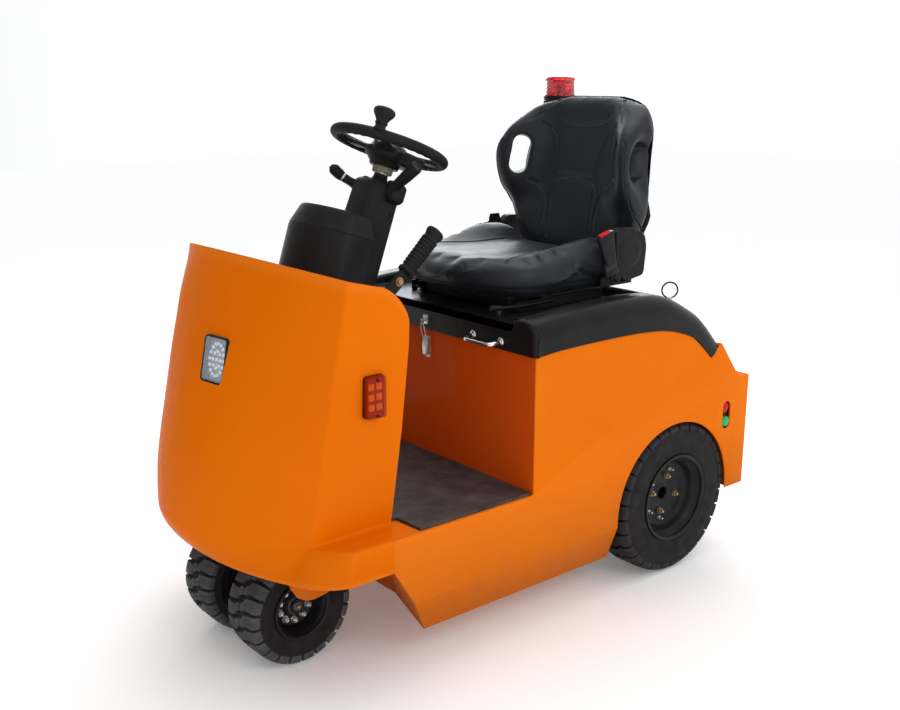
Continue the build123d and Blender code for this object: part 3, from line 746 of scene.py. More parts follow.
def build_side(side, s):
    bm = bmesh.new()
    top = [(533.0, 678.0)] + [(p.x, p.z) for p in smooth_path([(x, 0, z) for x, z in SIDE_TOP[1:8]], 4)]
    outline = [(937.0, 276.0), (937.0, 349.0), (541.0, 349.0), (533.0, 353.0)] + top + [(x, z) for x, z in SIDE_TOP[8:]] + [(-281, 500), (-279, 188), (-203, 188)]
    a0 = math.atan2(188 - ARCH_Z, -math.sqrt(ARCH_R ** 2 - 144))
    for i in range(1, 60):
        a = a0 - (2 * math.pi + 2 * a0 - math.pi) * 0 - (math.pi + 2 * (math.pi + a0)) * i / 60
        outline.append((ARCH_X + ARCH_R * math.cos(a), ARCH_Z + ARCH_R * math.sin(a)))
    outline += [(235.0, 188.0), (883.0, 188.0)]
    vs = [bm.verts.new((x, s * 385.0, z)) for x, z in outline]
    f1 = bm.faces.new(vs)
    k = [bm.verts.new((810.0, s * 324.0, 78.0)), bm.verts.new((204.0, s * 324.0, 78.0))]
    f2 = bm.faces.new([vs[-2], vs[-1], k[0], k[1]])
    bmesh.ops.recalc_face_normals(bm, faces=bm.faces)
    outer = set(bm.verts)
    ext = bmesh.ops.extrude_face_region(bm, geom=[f1, f2])
    inner = [g for g in ext["geom"] if isinstance(g, bmesh.types.BMVert)]
    for v in inner:
        v.co.y -= s * 4.0
    bmesh.ops.recalc_face_normals(bm, faces=bm.faces)
    outer = {v for v in bm.verts if v not in set(inner)}
    es = []
    for e in bm.edges:
        if e.verts[0] in outer and e.verts[1] in outer:
            at_nose = all(abs(v.co.x - 937) < 0.01 for v in e.verts)
            if not at_nose and e.calc_face_angle(0.0) > math.radians(20):
                es.append(e)
    bmesh.ops.bevel(bm, geom=es, offset=2.2, segments=3, profile=0.5, affect="EDGES", clamp_overlap=True)
    ob = finish_piece(bm, "side_skin_" + side, ORANGE, replaces=("side_panel_" + side,), sharp=32)
    bm = bmesh.new()
    sec = []
    for i in range(24):
        a = 2 * math.pi * i / 24
        cx, cz = 16.5 * math.cos(a), 16.5 * math.sin(a)
        sec.append((cx, cz + (22.0 if cz > 0 else -22.0)))
    add_loft(bm, [[(-189 + x, y, 402 + z) for x, z in sec] for y in (s * 360, s * 400)])
    bmesh.ops.recalc_face_normals(bm, faces=bm.faces)
    for v in bm.verts:
        v.co = P(*v.co)
    me = bpy.data.meshes.new("slot_cut")
    bm.to_mesh(me)
    bm.free()
    cut = bpy.data.objects.new("slot_cut", me)
    scene.collection.objects.link(cut)
    bo = ob.modifiers.new("slot", "BOOLEAN")
    bo.operation = "DIFFERENCE"
    bo.object = cut
    bo.solver = "EXACT"
    apply_modifiers(ob, 32)
    bpy.data.objects.remove(cut)
    bpy.data.meshes.remove(me)
    return ob


for side, s in (("left", 1), ("right", -1)):
    build_side(side, s)

# ---------------------------------------------------------------- tyres and wheels
def tyre(name, node, body, cx, cz, yc, s, radius, carcass, lug_rows, pitches, gap, depth, rim_r, offset_rows, side_out):
    """Carcass by turning, then two rows of lugs that meet in a zigzag; s mirrors it."""
    mtx = frame_at((cx, s * yc, cz), (0, s, 0))
    bm = bmesh.new()
    add_turned(bm, mtx, carcass, n=96, close=True)
    ob = finish_piece(bm, name + "_carcass", TYRE, body, (node,), sharp=40)
    bm = bmesh.new()
    step = 2 * math.pi / pitches
    for row, sign in enumerate((1, -1)):
        for k in range(pitches):
            base = step * (k + offset_rows * row)
            prev = None
            rows = []
            for y, rad, shift, half, deep in lug_rows:
                ring = []
                for t in (-1, -0.33, 0.33, 1):
                    a = base + (shift * sign + t * half * (step / 2)) * 1.0
                    ring.append((rad * math.cos(a), rad * math.sin(a), sign * y))
                for t in (1, -1):
                    a = base + (shift * sign + t * half * (step / 2) * 1.04)
                    ring.append(((rad - deep) * math.cos(a), (rad - deep) * math.sin(a), sign * (y - (3 if deep < 8 else 0))))
                rows.append([mtx @ Vector(p) for p in ring])
            add_loft(bm, rows)
    bevel_sharp(bm, 0.9, 1, 38)
    tr = finish_piece(bm, name + "_tread", TREAD if cx > 500 else TREAD_DARK, body, (), sharp=30)
    return ob, tr


FRONT_CARCASS = [(64, -48), (68, -52), (78, -55), (92, -57.4), (95, -59.0), (98, -57.8), (108, -57.6), (116, -55), (122, -48), (123.5, -30), (123.5, 30), (122, 48),
                 (116, 55), (108, 57.6), (98, 57.8), (95, 59.0), (92, 57.4), (78, 55), (68, 52), (64, 48)]
FRONT_LUGS = [
    # y, radius, angular shift, width share, depth
    (2.0, 132.0, 0.060, 0.42, 10.0),
    (14.0, 132.5, 0.035, 0.62, 10.0),
    (17.0, 132.5, -0.020, 0.66, 10.0),
    (36.0, 132.0, -0.040, 0.74, 10.0),
    (50.0, 130.0, -0.040, 0.80, 9.0),
    (57.0, 122.5, -0.040, 0.80, 7.0),
    (59.0, 112.0, -0.040, 0.76, 3.0),
]
for side, s in (("left", 1), ("right", -1)):
    tyre("front_tyre_mesh_" + side, "front_tyre_" + side, "front_wheels", 1028.0, 132.5, 104.0, s, 132.5, FRONT_CARCASS, FRONT_LUGS, 22, 0.2, 10.0, 64.0, 0.5, 59.0)

REAR_CARCASS = [(109.7, -50), (116, -54.5), (124, -57), (128, -58.8), (132, -57.8), (150, -60), (168, -60.4), (180, -58.5), (192, -53), (196.5, -40), (197, 0), (196.5, 40), (192, 53),
                (180, 58.5), (168, 60.4), (150, 60), (132, 57.8), (128, 58.8), (124, 57), (116, 54.5), (109.7, 50)]
REAR_LUGS = [
    (2.0, 207.3, 0.050, 0.60, 12.0),
    (18.0, 207.5, 0.030, 0.74, 12.0),
    (22.0, 207.5, -0.012, 0.76, 12.0),
    (40.0, 206.5, -0.022, 0.82, 12.0),
    (51.0, 202.5, -0.022, 0.85, 10.0),
    (57.0, 196.5, -0.022, 0.86, 6.0),
    (59.2, 188.0, -0.022, 0.85, 2.5),
]
for side, s in (("left", 1), ("right", -1)):
    tyre("rear_tyre_mesh_" + side, "rear_tyre_" + side, "rear_wheel_" + side, 0.0, 207.5, 318.0, s, 207.5, REAR_CARCASS, REAR_LUGS, 30, 0.2, 12.0, 101.6, 0.5, 61.0)


def front_wheel(side, s):
    mtx = frame_at((1028.0, s * 104.0, 132.5), (0, s, 0))
    bm = bmesh.new()
    add_turned(bm, mtx, [(17, 4), (17, 15), (26, 15), (27, 14), (47, 14), (51.5, 16.5), (54.5, 23), (56.5, 38), (58.5, 44), (62, 48.5), (66, 52.5), (70, 55), (72, 57.5), (70.5, 59.5), (67.5, 58.8),
                          (63, 55), (63.7, 47.9), (63.7, -47.9), (66, -54), (62, -55), (58, -48), (54, -10), (50, 2), (30, 4)], n=72, close=True)
    finish_piece(bm, "front_rim_mesh_" + side, RIM, "front_wheels", ("front_rim_" + side,), sharp=32)
    bm = bmesh.new()
    for k in range(10):
        a = 2 * math.pi * (k + 0.5) / 10
        loc = mtx @ Matrix.Translation((39 * math.cos(a), 39 * math.sin(a), 14)) @ Matrix.Rotation(0.4 * k, 4, "Z")
        add_nut(bm, loc, 12.5, 7.5, 4.2, 4.5, 8.0)
    finish_piece(bm, "front_wheel_nuts_" + side, ZINC, "front_wheels", (), sharp=30)
    bm = bmesh.new()
    add_turned(bm, mtx, [(0, 37), (9, 37), (12, 35.5), (13, 33), (13, 31), (20, 30.5), (22.5, 28), (23.5, 20), (25.5, 15), (25.5, 10), (0, 10)], n=40)
    finish_piece(bm, "front_hub_cap_" + side, CAST, "front_wheels", (), sharp=30)
    bm = bmesh.new()
    add_turned(bm, mtx, [(0, 41), (4.5, 41), (5.5, 40), (5.5, 36.5), (0, 36.5)], n=18)
    finish_piece(bm, "front_hub_plug_" + side, BRASS, "front_wheels", (), sharp=30)


def rear_wheel(side, s):
    mtx = frame_at((0.0, s * 318.0, 207.5), (0, s, 0))
    body = "rear_wheel_" + side
    bm = bmesh.new()
    add_turned(bm, mtx, [(17, 4), (17, 13), (19, 14), (76, 14), (84, 15.5), (89, 19), (92, 24), (95, 33), (98, 38), (103, 42), (107, 49), (110.5, 54), (115, 57), (118.5, 58.6), (117.5, 60.6),
                          (113, 60), (109.4, 57), (109.4, 49.9), (109.4, -49.9), (113, -56), (107, -57), (100, -46), (96, -24), (88, 2), (76, 4)], n=96, close=True)
    finish_piece(bm, "rear_rim_mesh_" + side, RIM, body, ("rear_rim_" + side,), sharp=32)
    bm = bmesh.new()
    for k in range(4):
        a = math.radians(77 + 90 * k)
        loc = mtx @ Matrix.Translation((48 * math.cos(a), 48 * math.sin(a), 14)) @ Matrix.Rotation(0.5 * k, 4, "Z")
        add_nut(bm, loc, 14, 6, 4.5, 7, 9.0)
    finish_piece(bm, "rear_wheel_nuts_" + side, BRASS, body, (), sharp=30)
    bm = bmesh.new()
    for k, deg in enumerate((80, 35, -36, 250)):
        a = math.radians(deg)
        loc = mtx @ Matrix.Translation((68 * math.cos(a), 68 * math.sin(a), 14)) @ Matrix.Rotation(0.7 * k, 4, "Z")
        add_nut(bm, loc, 8.5, 4, 2.6, 9, 5.0)
    finish_piece(bm, "rear_wheel_bolts_" + side, ZINC, body, (), sharp=30)
    bm = bmesh.new()
    add_turned(bm, mtx, [(0, -30), (26, -30), (26, -18.5), (60, -18.5), (60, -40), (26.5, -44), (26.5, -72), (0, -72)], n=40)
    finish_piece(bm, "rear_hub_" + side, CAST, body, (), sharp=30)


for side, s in (("left", 1), ("right", -1)):
    front_wheel(side, s)
    rear_wheel(side, s)

# ---------------------------------------------------------------- soft goods helpers
def ring_smooth(points, n, passes):
    """Closed ring resampled to n points by length, then rounded by averaging."""
    pts = [Vector(p) for p in points]
    m = len(pts)
    lens = [(pts[(i + 1) % m] - pts[i]).length for i in range(m)]
    total = sum(lens)
    out, i, run = [], 0, 0.0
    for k in range(n):
        want = total * k / n
        while run + lens[i] < want - 1e-9:
            run += lens[i]
            i += 1
        t = (want - run) / lens[i] if lens[i] > 1e-9 else 0.0
        out.append(pts[i].lerp(pts[(i + 1) % m], t))
    for _ in range(passes):
        out = [out[k] * 0.5 + (out[k - 1] + out[(k + 1) % n]) * 0.25 for k in range(n)]
    return out


def rows_at(rows, z):
    """Smooth interpolation of point lists along the first column."""
    n = len(rows)
    i = 0
    while i < n - 2 and z > rows[i + 1][0]:
        i += 1
    z0, z1 = rows[i][0], rows[i + 1][0]
    t = max(0.0, min(1.0, (z - z0) / (z1 - z0)))

    def slope(k, q):
        a, b = max(k - 1, 0), min(k + 1, n - 1)
        return (Vector(rows[b][1][q]) - Vector(rows[a][1][q])) / (rows[b][0] - rows[a][0])

    out = []
    for q in range(len(rows[0][1])):
        p0, p1 = Vector(rows[i][1][q]), Vector(rows[i + 1][1][q])
        m0, m1 = slope(i, q) * (z1 - z0), slope(i + 1, q) * (z1 - z0)
        t2, t3 = t * t, t * t * t
        out.append(p0 * (2 * t3 - 3 * t2 + 1) + m0 * (t3 - 2 * t2 + t) + p1 * (3 * t2 - 2 * t3) + m1 * (t3 - t2))
    return out


def raw_object(bm, name):
    bmesh.ops.recalc_face_normals(bm, faces=bm.faces)
    for v in bm.verts:
        v.co = P(*v.co)
    me = bpy.data.meshes.new(name)
    bm.to_mesh(me)
    bm.free()
    ob = bpy.data.objects.new(name, me)
    scene.collection.objects.link(ob)
    return ob


def drop(ob):
    me = ob.data
    bpy.data.objects.remove(ob)
    bpy.data.meshes.remove(me)


def cut_with(ob, cutters):
    for c in cutters:
        bo = ob.modifiers.new("cut", "BOOLEAN")
        bo.operation = "DIFFERENCE"
        bo.object = c
        bo.solver = "EXACT"
    apply_modifiers(ob)
    for c in cutters:
        drop(c)
    return ob


def remesh(ob, voxel, passes):
    re = ob.modifiers.new("remesh", "REMESH")
    re.mode = "VOXEL"
    re.voxel_size = voxel
    sm = ob.modifiers.new("smooth", "SMOOTH")
    sm.factor = 0.5
    sm.iterations = passes
    return apply_modifiers(ob, 60)


def puff(ob, cap, pressure=4.0, frames=20):
    """Short pressure simulation that fills the cover; no point moves more than cap metres."""
    start = [v.co.copy() for v in ob.data.vertices]
    cl = ob.modifiers.new("cloth", "CLOTH")
    st = cl.settings
    st.quality = 4
    st.mass = 0.4
    st.tension_stiffness = 30
    st.compression_stiffness = 30
    st.shear_stiffness = 12
    st.bending_stiffness = 3.0
    st.use_pressure = True
    st.uniform_pressure_force = pressure
    st.effector_weights.gravity = 0.0
    cl.collision_settings.use_collision = False
    cl.collision_settings.use_self_collision = False
    cl.point_cache.frame_start = 1
    cl.point_cache.frame_end = frames + 5
    for f in range(1, frames + 1):
        scene.frame_set(f)
    dg = bpy.context.evaluated_depsgraph_get()
    ev = ob.evaluated_get(dg).data
    moved = [v.co.copy() for v in ev.vertices]
    ob.modifiers.clear()
    scene.frame_set(1)
    for v, a, b in zip(ob.data.vertices, start, moved):
        d = b - a
        if d.length > cap:
            d = d * (cap / d.length)
        v.co = a + d
    return ob


def subdivide(ob, passes=2):
    su = ob.modifiers.new("sub", "SUBSURF")
    su.levels = 1
    su.render_levels = 1
    sm = ob.modifiers.new("smooth", "SMOOTH")
    sm.factor = 0.4
    sm.iterations = passes
    return apply_modifiers(ob, 60)


def near_path(points, step=0.0012):
    """Dense points along a path given in metres."""
    out = []
    for a, b in zip(points, points[1:]):
        n = max(1, int((b - a).length / step))
        out += [a.lerp(b, k / n) for k in range(n)]
    out.append(points[-1])
    return out


def on_surface(tree, points, direction):
    """Project points on the mesh along a direction (from outside)."""
    out = []
    d = Vector(direction).normalized()
    for p in points:
        hit = tree.ray_cast(p - d * 0.4, d)
        if hit[0] is not None:
            out.append(hit[0])
    return out


def groove(ob, paths, width, depth, beside=0.0):
    """Sink the surface along paths; beside raises the two banks a little."""
    kd_pts = [p for path in paths for p in near_path(path)]
    kd = kdtree.KDTree(len(kd_pts))
    for i, p in enumerate(kd_pts):
        kd.insert(p, i)
    kd.balance()
    me = ob.data
    moves = []
    for v in me.vertices:
        d = kd.find(v.co)[2]
        if d < width * 4:
            q = d / width
            moves.append((v, v.normal * (-depth * math.exp(-q * q) + beside * math.exp(-((q - 1.9) / 0.8) ** 2))))
    for v, mv in moves:
        v.co += mv
    me.update()


def stitches(bm, path, pitch, length, radius, lift, tree):
    """Rows of single stitches lying along a seam."""
    run, nxt = 0.0, 0.0
    for a, b in zip(path, path[1:]):
        seg = (b - a).length
        while seg > 1e-9 and nxt <= run + seg:
            t = (nxt - run) / seg
            p = a.lerp(b, t)
            loc, nor, _, _ = tree.find_nearest(p)
            d = (b - a).normalized()
            c = loc + nor * lift
            pts = [c - d * length / 2 - nor * radius * 1.2, c - d * length * 0.3, c + d * length * 0.3, c + d * length / 2 - nor * radius * 1.2]
            add_tube(bm, pts, radius, n=5)
            nxt += pitch
        run += seg


def mesh_tree(ob):
    return bvhtree.BVHTree.FromPolygons([v.co for v in ob.data.vertices], [tuple(p.vertices) for p in ob.data.polygons])


def finish_metres(bm, name, material, body, sharp=40.0):
    """For geometry that is already in metres in the tug's frame."""
    bmesh.ops.recalc_face_normals(bm, faces=bm.faces)
    me = bpy.data.meshes.new(name)
    bm.to_mesh(me)
    bm.free()
    me.materials.append(material)
    me.shade_smooth()
    me.set_sharp_from_angle(angle=math.radians(sharp))
    ob = bpy.data.objects.new(name, me)
    scene.collection.objects.link(ob)
    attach(ob, body)
    return ob


# ---------------------------------------------------------------- seat back
BACK = [
    # z, half plan (x, y) from the middle of the front round the ear to the middle of the rear
    (808.0, [(62, 0), (60, 100), (57, 128), (50, 152), (44, 164), (34, 172), (2, 172), (-6, 150), (-10, 120), (-10, 0)]),
    (858.0, [(63, 0), (61, 110), (59, 150), (56, 180), (50, 197), (40, 206), (0, 206), (-8, 180), (-11, 150), (-11, 0)]),
    (900.0, [(54, 0), (52, 110), (54, 158), (57, 194), (53, 212), (44, 223), (-1, 224), (-13, 190), (-19, 150), (-19, 0)]),
    (942.0, [(44, 0), (43, 112), (50, 165), (62, 208), (58, 226), (48, 238), (-3, 240), (-17, 198), (-25, 150), (-26, 0)]),
    (1005.0, [(29, 0), (29, 114), (60, 168), (94, 211), (93, 228), (83, 241), (-6, 246), (-21, 200), (-31, 150), (-32, 0)]),
    (1090.0, [(9, 0), (10, 115), (62, 168), (107, 212), (106, 229), (95, 243), (-8, 247), (-25, 200), (-39, 150), (-40, 0)]),
    (1140.0, [(-3, 0), (-2, 112), (46, 160), (86, 199), (87, 216), (77, 233), (-10, 246), (-31, 198), (-46, 148), (-47, 0)]),
    (1165.0, [(-8, 0), (-7, 108), (34, 154), (66, 190), (67, 207), (57, 224), (-14, 241), (-36, 194), (-50, 146), (-52, 0)]),
    (1200.0, [(-14, 0), (-13, 100), (4, 138), (24, 167), (26, 184), (17, 201), (-18, 222), (-42, 190), (-57, 140), (-59, 0)]),
    (1222.0, [(-20, 0), (-19, 86), (-12, 116), (0, 142), (1, 158), (-6, 173), (-34, 190), (-50, 170), (-61, 130), (-62, 0)]),
    (1236.0, [(-27, 0), (-26, 62), (-24, 82), (-21, 98), (-23, 110), (-30, 122), (-46, 140), (-54, 126), (-60, 94), (-62, 0)]),
    (1243.0, [(-36, 0), (-35, 42), (-34, 56), (-34, 66), (-36, 74), (-40, 82), (-48, 94), (-53, 84), (-57, 62), (-58, 0)]),
]


def back_ring(z, grow=0.0, n=150, passes=5):
    half = rows_at(BACK, z)
    pts = [Vector((p.x, p.y, z)) for p in half] + [Vector((p.x, -p.y, z)) for p in reversed(half[1:-1])]
    ring = ring_smooth(pts, n, passes)
    if grow:
        c = sum(ring, Vector()) / n
        ring = [Vector((c.x + (p.x - c.x) * (1 + grow / 60), c.y + (p.y - c.y) * (1 + grow / 245), p.z)) for p in ring]
    return ring


def slot_cutter(name, origin, zdir, xdir, length, width, depth):
    mtx = frame_at(origin, zdir, xdir)
    bm = bmesh.new()
    sec = []
    for i in range(40):
        a = 2 * math.pi * i / 40
        cx, cy = width / 2 * math.cos(a), width / 2 * math.sin(a)
        sec.append((cx * 0 + (cy + (length - width) / 2 * (1 if cy >= 0 else -1)), cx))
    add_loft(bm, [[mtx @ Vector((u, v, h)) for u, v in sec] for h in (-depth, depth)])
    return raw_object(bm, name)


UPV = Vector((-0.230, 0, 0.973))


def seat_back():
    bm = bmesh.new()
    levels = [808, 812, 820] + list(range(833, 1190, 17)) + [1196, 1204, 1212, 1219, 1225, 1230, 1234, 1237.5, 1240.5, 1243]
    rings = []
    for z in levels:
        ring = back_ring(z)
        if z < 820:
            c = sum(ring, Vector()) / len(ring)
            k = 0.90 if z < 810 else 0.96
            ring = [Vector((c.x + (p.x - c.x) * k, c.y + (p.y - c.y) * (1 - (1 - k) * 0.3), p.z)) for p in ring]
        rings.append(ring)
    add_loft(bm, rings)
    ob = raw_object(bm, "seat_back_cover")
    cutters = []
    for s in (1, -1):
        cutters.append(slot_cutter("hole", (54, s * 184, 1082), (0.60, -s * 0.80, 0), tuple(UPV), 108, 50, 160))
        bm = bmesh.new()
        mtx = Matrix.Translation((30, s * 262, 1082)) @ Matrix.Rotation(math.radians(-9), 4, "Y") @ Matrix.Diagonal((64, 46, 98, 1))
        add_turned(bm, mtx, [(0, 1)] + [(math.sin(math.pi * i / 20), math.cos(math.pi * i / 20)) for i in range(1, 20)] + [(0, -1)], n=40)
        cutters.append(raw_object(bm, "scoop"))
    cut_with(ob, cutters)
    remesh(ob, 0.0055, 7)
    puff(ob, 0.005)
    subdivide(ob)
    tree = mesh_tree(ob)
    fwd = (-1, 0, 0)
    seams = []

    def front(points):
        pts = smooth_path([P(300, y, z) for y, z in points], 10)
        return on_surface(tree, pts, fwd)

    ell = [(90 * math.cos(math.pi + math.pi * k / 24), 1193 + 24 * math.sin(math.pi + math.pi * k / 24)) for k in range(25)]
    paths_fine = [on_surface(tree, [P(300, y, z) for y, z in ell], fwd)]
    for s in (1, -1):
        seams.append(front([(s * 142, 1174), (s * 124, 1163), (s * 108, 1151), (s * 92, 1134), (s * 82, 1112), (s * 76, 1080), (s * 71, 1050), (s * 68, 1022)]))
    seams.append(front([(-70, 1036), (-35, 1037), (0, 1038), (35, 1037), (70, 1036)]))
    paths_fine.append(front([(-66, 868), (-71, 905), (-75, 945), (-79, 985), (-74, 1004), (-58, 1013), (-30, 1020), (0, 1023), (30, 1020), (58, 1013), (74, 1004), (80, 985), (80, 955), (84, 915), (88, 880)]))
    for s in (1, -1):
        paths_fine.append(front([(s * 100, 872), (s * 96, 930), (s * 104, 975), (s * 122, 1000), (s * 150, 1012)]))
    groove(ob, seams, 0.0024, 0.0024, 0.0007)
    groove(ob, paths_fine, 0.0046, 0.0017, 0.0007)
    # piping where the front cover meets the side of each ear
    pipes = []
    for s in (1, -1):
        loop = smooth_path([(-34, 1232), (-8, 1226), (20, 1212), (48, 1192), (72, 1162), (90, 1120), (96, 1080), (93, 1042), (84, 1008), (66, 974), (42, 944), (18, 922), (2, 906)], 8)
        pts = []
        for p in loop:
            q = P(p[0], s * 400, p[1])
            hit = tree.ray_cast(q, Vector((0, -s, 0)))
            if hit[0] is not None:
                pts.append(hit[0])
        pipes.append([p for k, p in enumerate(pts) if k == 0 or (p - pts[k - 1]).length < 0.03])
    groove(ob, pipes, 0.0042, 0.0016, 0.0)
    ob.data.materials.clear()
    ob.data.materials.append(VINYL)
    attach(ob, "battery_lid")
    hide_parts("seat_back")
    bm = bmesh.new()
    for pipe in pipes:
        sm = [pipe[0]] + [(pipe[k - 1] + pipe[k] * 2 + pipe[k + 1]) / 4 for k in range(1, len(pipe) - 1)] + [pipe[-1]]
        add_tube(bm, [p + (tree.find_nearest(p)[1]) * 0.0004 for p in sm], 0.0021, n=8)
    finish_metres(bm, "seat_back_piping", VINYL_EDGE, "battery_lid", 50)
    bm = bmesh.new()
    for sgn, path in zip((1, -1), seams[:2]):
        off = [p + Vector((0.001, sgn * 0.0065, 0)) for p in path]
        stitches(bm, off, 0.0062, 0.0040, 0.00045, 0.0003, tree)
    finish_metres(bm, "seat_back_stitches", THREAD, "battery_lid", 50)
    return ob


def back_shell():
    """Moulded plastic shell behind the pad."""
    bm = bmesh.new()
    levels = [814, 820, 840, 860, 880] + list(range(900, 1190, 20)) + [1196, 1210, 1220, 1229, 1236, 1241]
    rings = []
    for i, z in enumerate(levels):
        half = rows_at(BACK, z)
        rc, rm, re = half[9], half[8], half[7]
        wy = half[6].y
        end = 4.0 if i in (0, len(levels) - 1) else 0.0
        wc = min(96.0, rm.y - 16)
        g = smooth01((z - 925) / 70)
        low = 1 - g
        outer = [(re.x + 2, wy - 14 - 8 * g), (re.x - 4 + 3 * g - 8 * low + end * 0.3, wy - 8 - 14 * g), (re.x - 9 + 6 * g - 6 * low + end, wy - 12 - 16 * g - end), (rm.x - 13 + 8 * g + end, rm.y + 12 - 16 * g),
                 (rm.x - 16 + 8 * g + end, rm.y - 8 - 4 * g),
                 (rc.x - 18 + end, wc), (rc.x - 18 + end, wc * 0.83), (rc.x - 13 + end, wc * 0.73), (rc.x - 12 + end, 0)]
        if z < 905 or z > 1190:
            outer[6] = (rc.x - 18.5 + end, wc * 0.83)
            outer[7] = (rc.x - 18.5 + end, wc * 0.65)
            outer[8] = (rc.x - 18.5 + end, 0)
        inner = [(rc.x - 2, 0), (rm.x - 2, rm.y), (re.x - 2, re.y)]
        hp = outer + inner
        pts = [Vector((x, y, z)) for x, y in outer] + [Vector((x, -y, z)) for x, y in reversed(outer[:-1])]
        pts += [Vector((x, -y, z)) for x, y in reversed(inner[1:])] + [Vector((x, y, z)) for x, y in inner]
        rings.append(ring_smooth(pts, 130, 2))
    add_loft(bm, rings)
    ob = raw_object(bm, "seat_back_rear_shell")
    cutters = [slot_cutter("hole", (54, s * 184, 1082), (0.60, -s * 0.80, 0), tuple(UPV), 114, 56, 160) for s in (1, -1)]
    cut_with(ob, cutters)
    sm = ob.modifiers.new("bevel", "BEVEL")
    sm.width = 0.003
    sm.segments = 3
    sm.limit_method = "ANGLE"
    sm.angle_limit = math.radians(42)
    apply_modifiers(ob, 40)
    ob.data.materials.clear()
    ob.data.materials.append(BLACK_FINE)
    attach(ob, "battery_lid")
    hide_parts("seat_back_shell")
    bm = bmesh.new()
    for y, z in ((-160, 1010), (160, 1010), (-150, 1150), (150, 1150), (-130, 890), (130, 890)):
        half = rows_at(BACK, z)
        hx = lerp(half[8].x, half[7].x, 0.4) - 14
        mtx = frame_at((hx + 6, y, z), (-1, 0, -0.22), (0, 1, 0))
        add_turned(bm, mtx, [(0, 0), (8.5, 0), (8.5, 6), (6.5, 8.6), (3.2, 9.4), (3.0, 6.5), (0, 6.5)], n=20)
    finish_piece(bm, "seat_shell_screws", BLACK_STEEL, "battery_lid", (), sharp=35)


# ---------------------------------------------------------------- seat cushion
def cushion_outline():
    pts = [(72, 0), (72, 120), (72, 215), (84, 238), (110, 245), (200, 245), (300, 245), (380, 245), (412, 236), (445, 212), (482, 155), (505, 100), (519, 50), (523, 0)]
    full = [Vector((x, y, 0)) for x, y in pts] + [Vector((x, -y, 0)) for x, y in reversed(pts[1:-1])]
    return ring_smooth(full, 200, 10)


CREST = [(70, 880), (130, 891), (184, 891), (235, 883), (285, 873), (340, 865), (392, 860), (450, 857), (524, 853)]
MIDDLE = [(70, 846), (150, 847), (250, 848), (350, 851), (430, 853), (480, 852), (524, 849)]


def along_table(rows, x):
    x = max(rows[0][0], min(rows[-1][0], x))
    for (a, p), (b, q) in zip(rows, rows[1:]):
        if x <= b:
            return lerp(p, q, (x - a) / (b - a))
    return rows[-1][1]


def cushion_top(x, y, w):
    u = abs(y) / max(60.0, w - 48.0)
    k = smooth01((min(u, 1.0) - 0.42) / 0.58)
    z = lerp(along_table(MIDDLE, x), along_table(CREST, x), k)
    return z + 3.5 * math.cos(min(1.0, abs(y) / 110.0) * math.pi / 2) * smooth01((x - 90) / 80)


def seat_cushion():
    outline = cushion_outline()
    insets = [0, 0.6, 1.8, 4, 7, 11, 16, 22, 30, 40, 52, 66, 84, 106, 132, 162, 196]
    bm = bmesh.new()
    top_rows, low_rows = [], []
    for d in insets:
        top, low = [], []
        for p in outline:
            c = Vector((max(190.0, min(390.0, p.x)), 0, 0))
            L = (p - c).length
            t = min(1.0, d / L)
            q = p.lerp(c, t)
            dd = d
            w = 245.0 if q.x < 380 else max(40.0, 245 - (q.x - 380) * 1.1)
            zt = cushion_top(q.x, q.y, w)
            zmid = 822.0
            r_top, r_low = 46.0, lerp(18.0, 34.0, smooth01((q.x - 400) / 110))
            ft = math.sqrt(max(0.0, 1 - (1 - min(dd / r_top, 1.0)) ** 2))
            fl = math.sqrt(max(0.0, 1 - (1 - min(dd / r_low, 1.0)) ** 2))
            top.append(Vector((q.x, q.y, zmid + (zt - zmid) * ft)))
            low.append(Vector((q.x, q.y, zmid - (zmid - 777.0) * fl)))
        top_rows.append(top)
        low_rows.append(low)
    rings = list(reversed(low_rows)) + top_rows[1:]
    add_loft(bm, rings)
    bmesh.ops.remove_doubles(bm, verts=bm.verts, dist=0.05)
    ob = raw_object(bm, "seat_cushion_cover")
    remesh(ob, 0.006, 6)
    puff(ob, 0.007)
    subdivide(ob)
    tree = mesh_tree(ob)
    down = (0, 0, -1)
    main = []
    for s in (1, -1):
        pts = smooth_path([P(x, s * y, 1200) for x, y in ((432, 168), (404, 163), (379, 155), (337, 138), (295, 122), (240, 115), (185, 113), (140, 105), (108, 84), (92, 50))], 8)
        main.append(on_surface(tree, pts, down))
    cross = on_surface(tree, smooth_path([P(92, y, 1200) for y in (-50, -25, 0, 25, 50)], 6), down)
    fine = on_surface(tree, smooth_path([P(x, y, 1200) for x, y in ((432, -168), (452, -110), (462, -50), (464, 0), (462, 50), (452, 110), (432, 168))], 8), down)
    groove(ob, main + [cross], 0.0026, 0.0030, 0.0009)
    groove(ob, [fine], 0.009, 0.0010, 0.0)
    side = []
    ring = []
    for p in outline:
        c = Vector((max(190.0, min(390.0, p.x)), 0, 0))
        o = p + (p - c).normalized() * 120
        hit = tree.ray_cast(P(o.x, o.y, 797), (P(c.x, c.y, 797) - P(o.x, o.y, 797)).normalized())
        if hit[0] is not None:
            ring.append(hit[0])
    ring.append(ring[0])
    groove(ob, [ring], 0.0030, 0.0010, 0.0)
    ob.data.materials.clear()
    ob.data.materials.append(VINYL)
    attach(ob, "battery_lid")
    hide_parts("seat_cushion")
    bm = bmesh.new()
    for s, path in zip((1, -1), main):
        stitches(bm, [p + Vector((0, s * 0.0065, 0)) for p in path], 0.0062, 0.0040, 0.00045, 0.0003, tree)
    finish_metres(bm, "seat_cushion_stitches", THREAD, "battery_lid", 50)


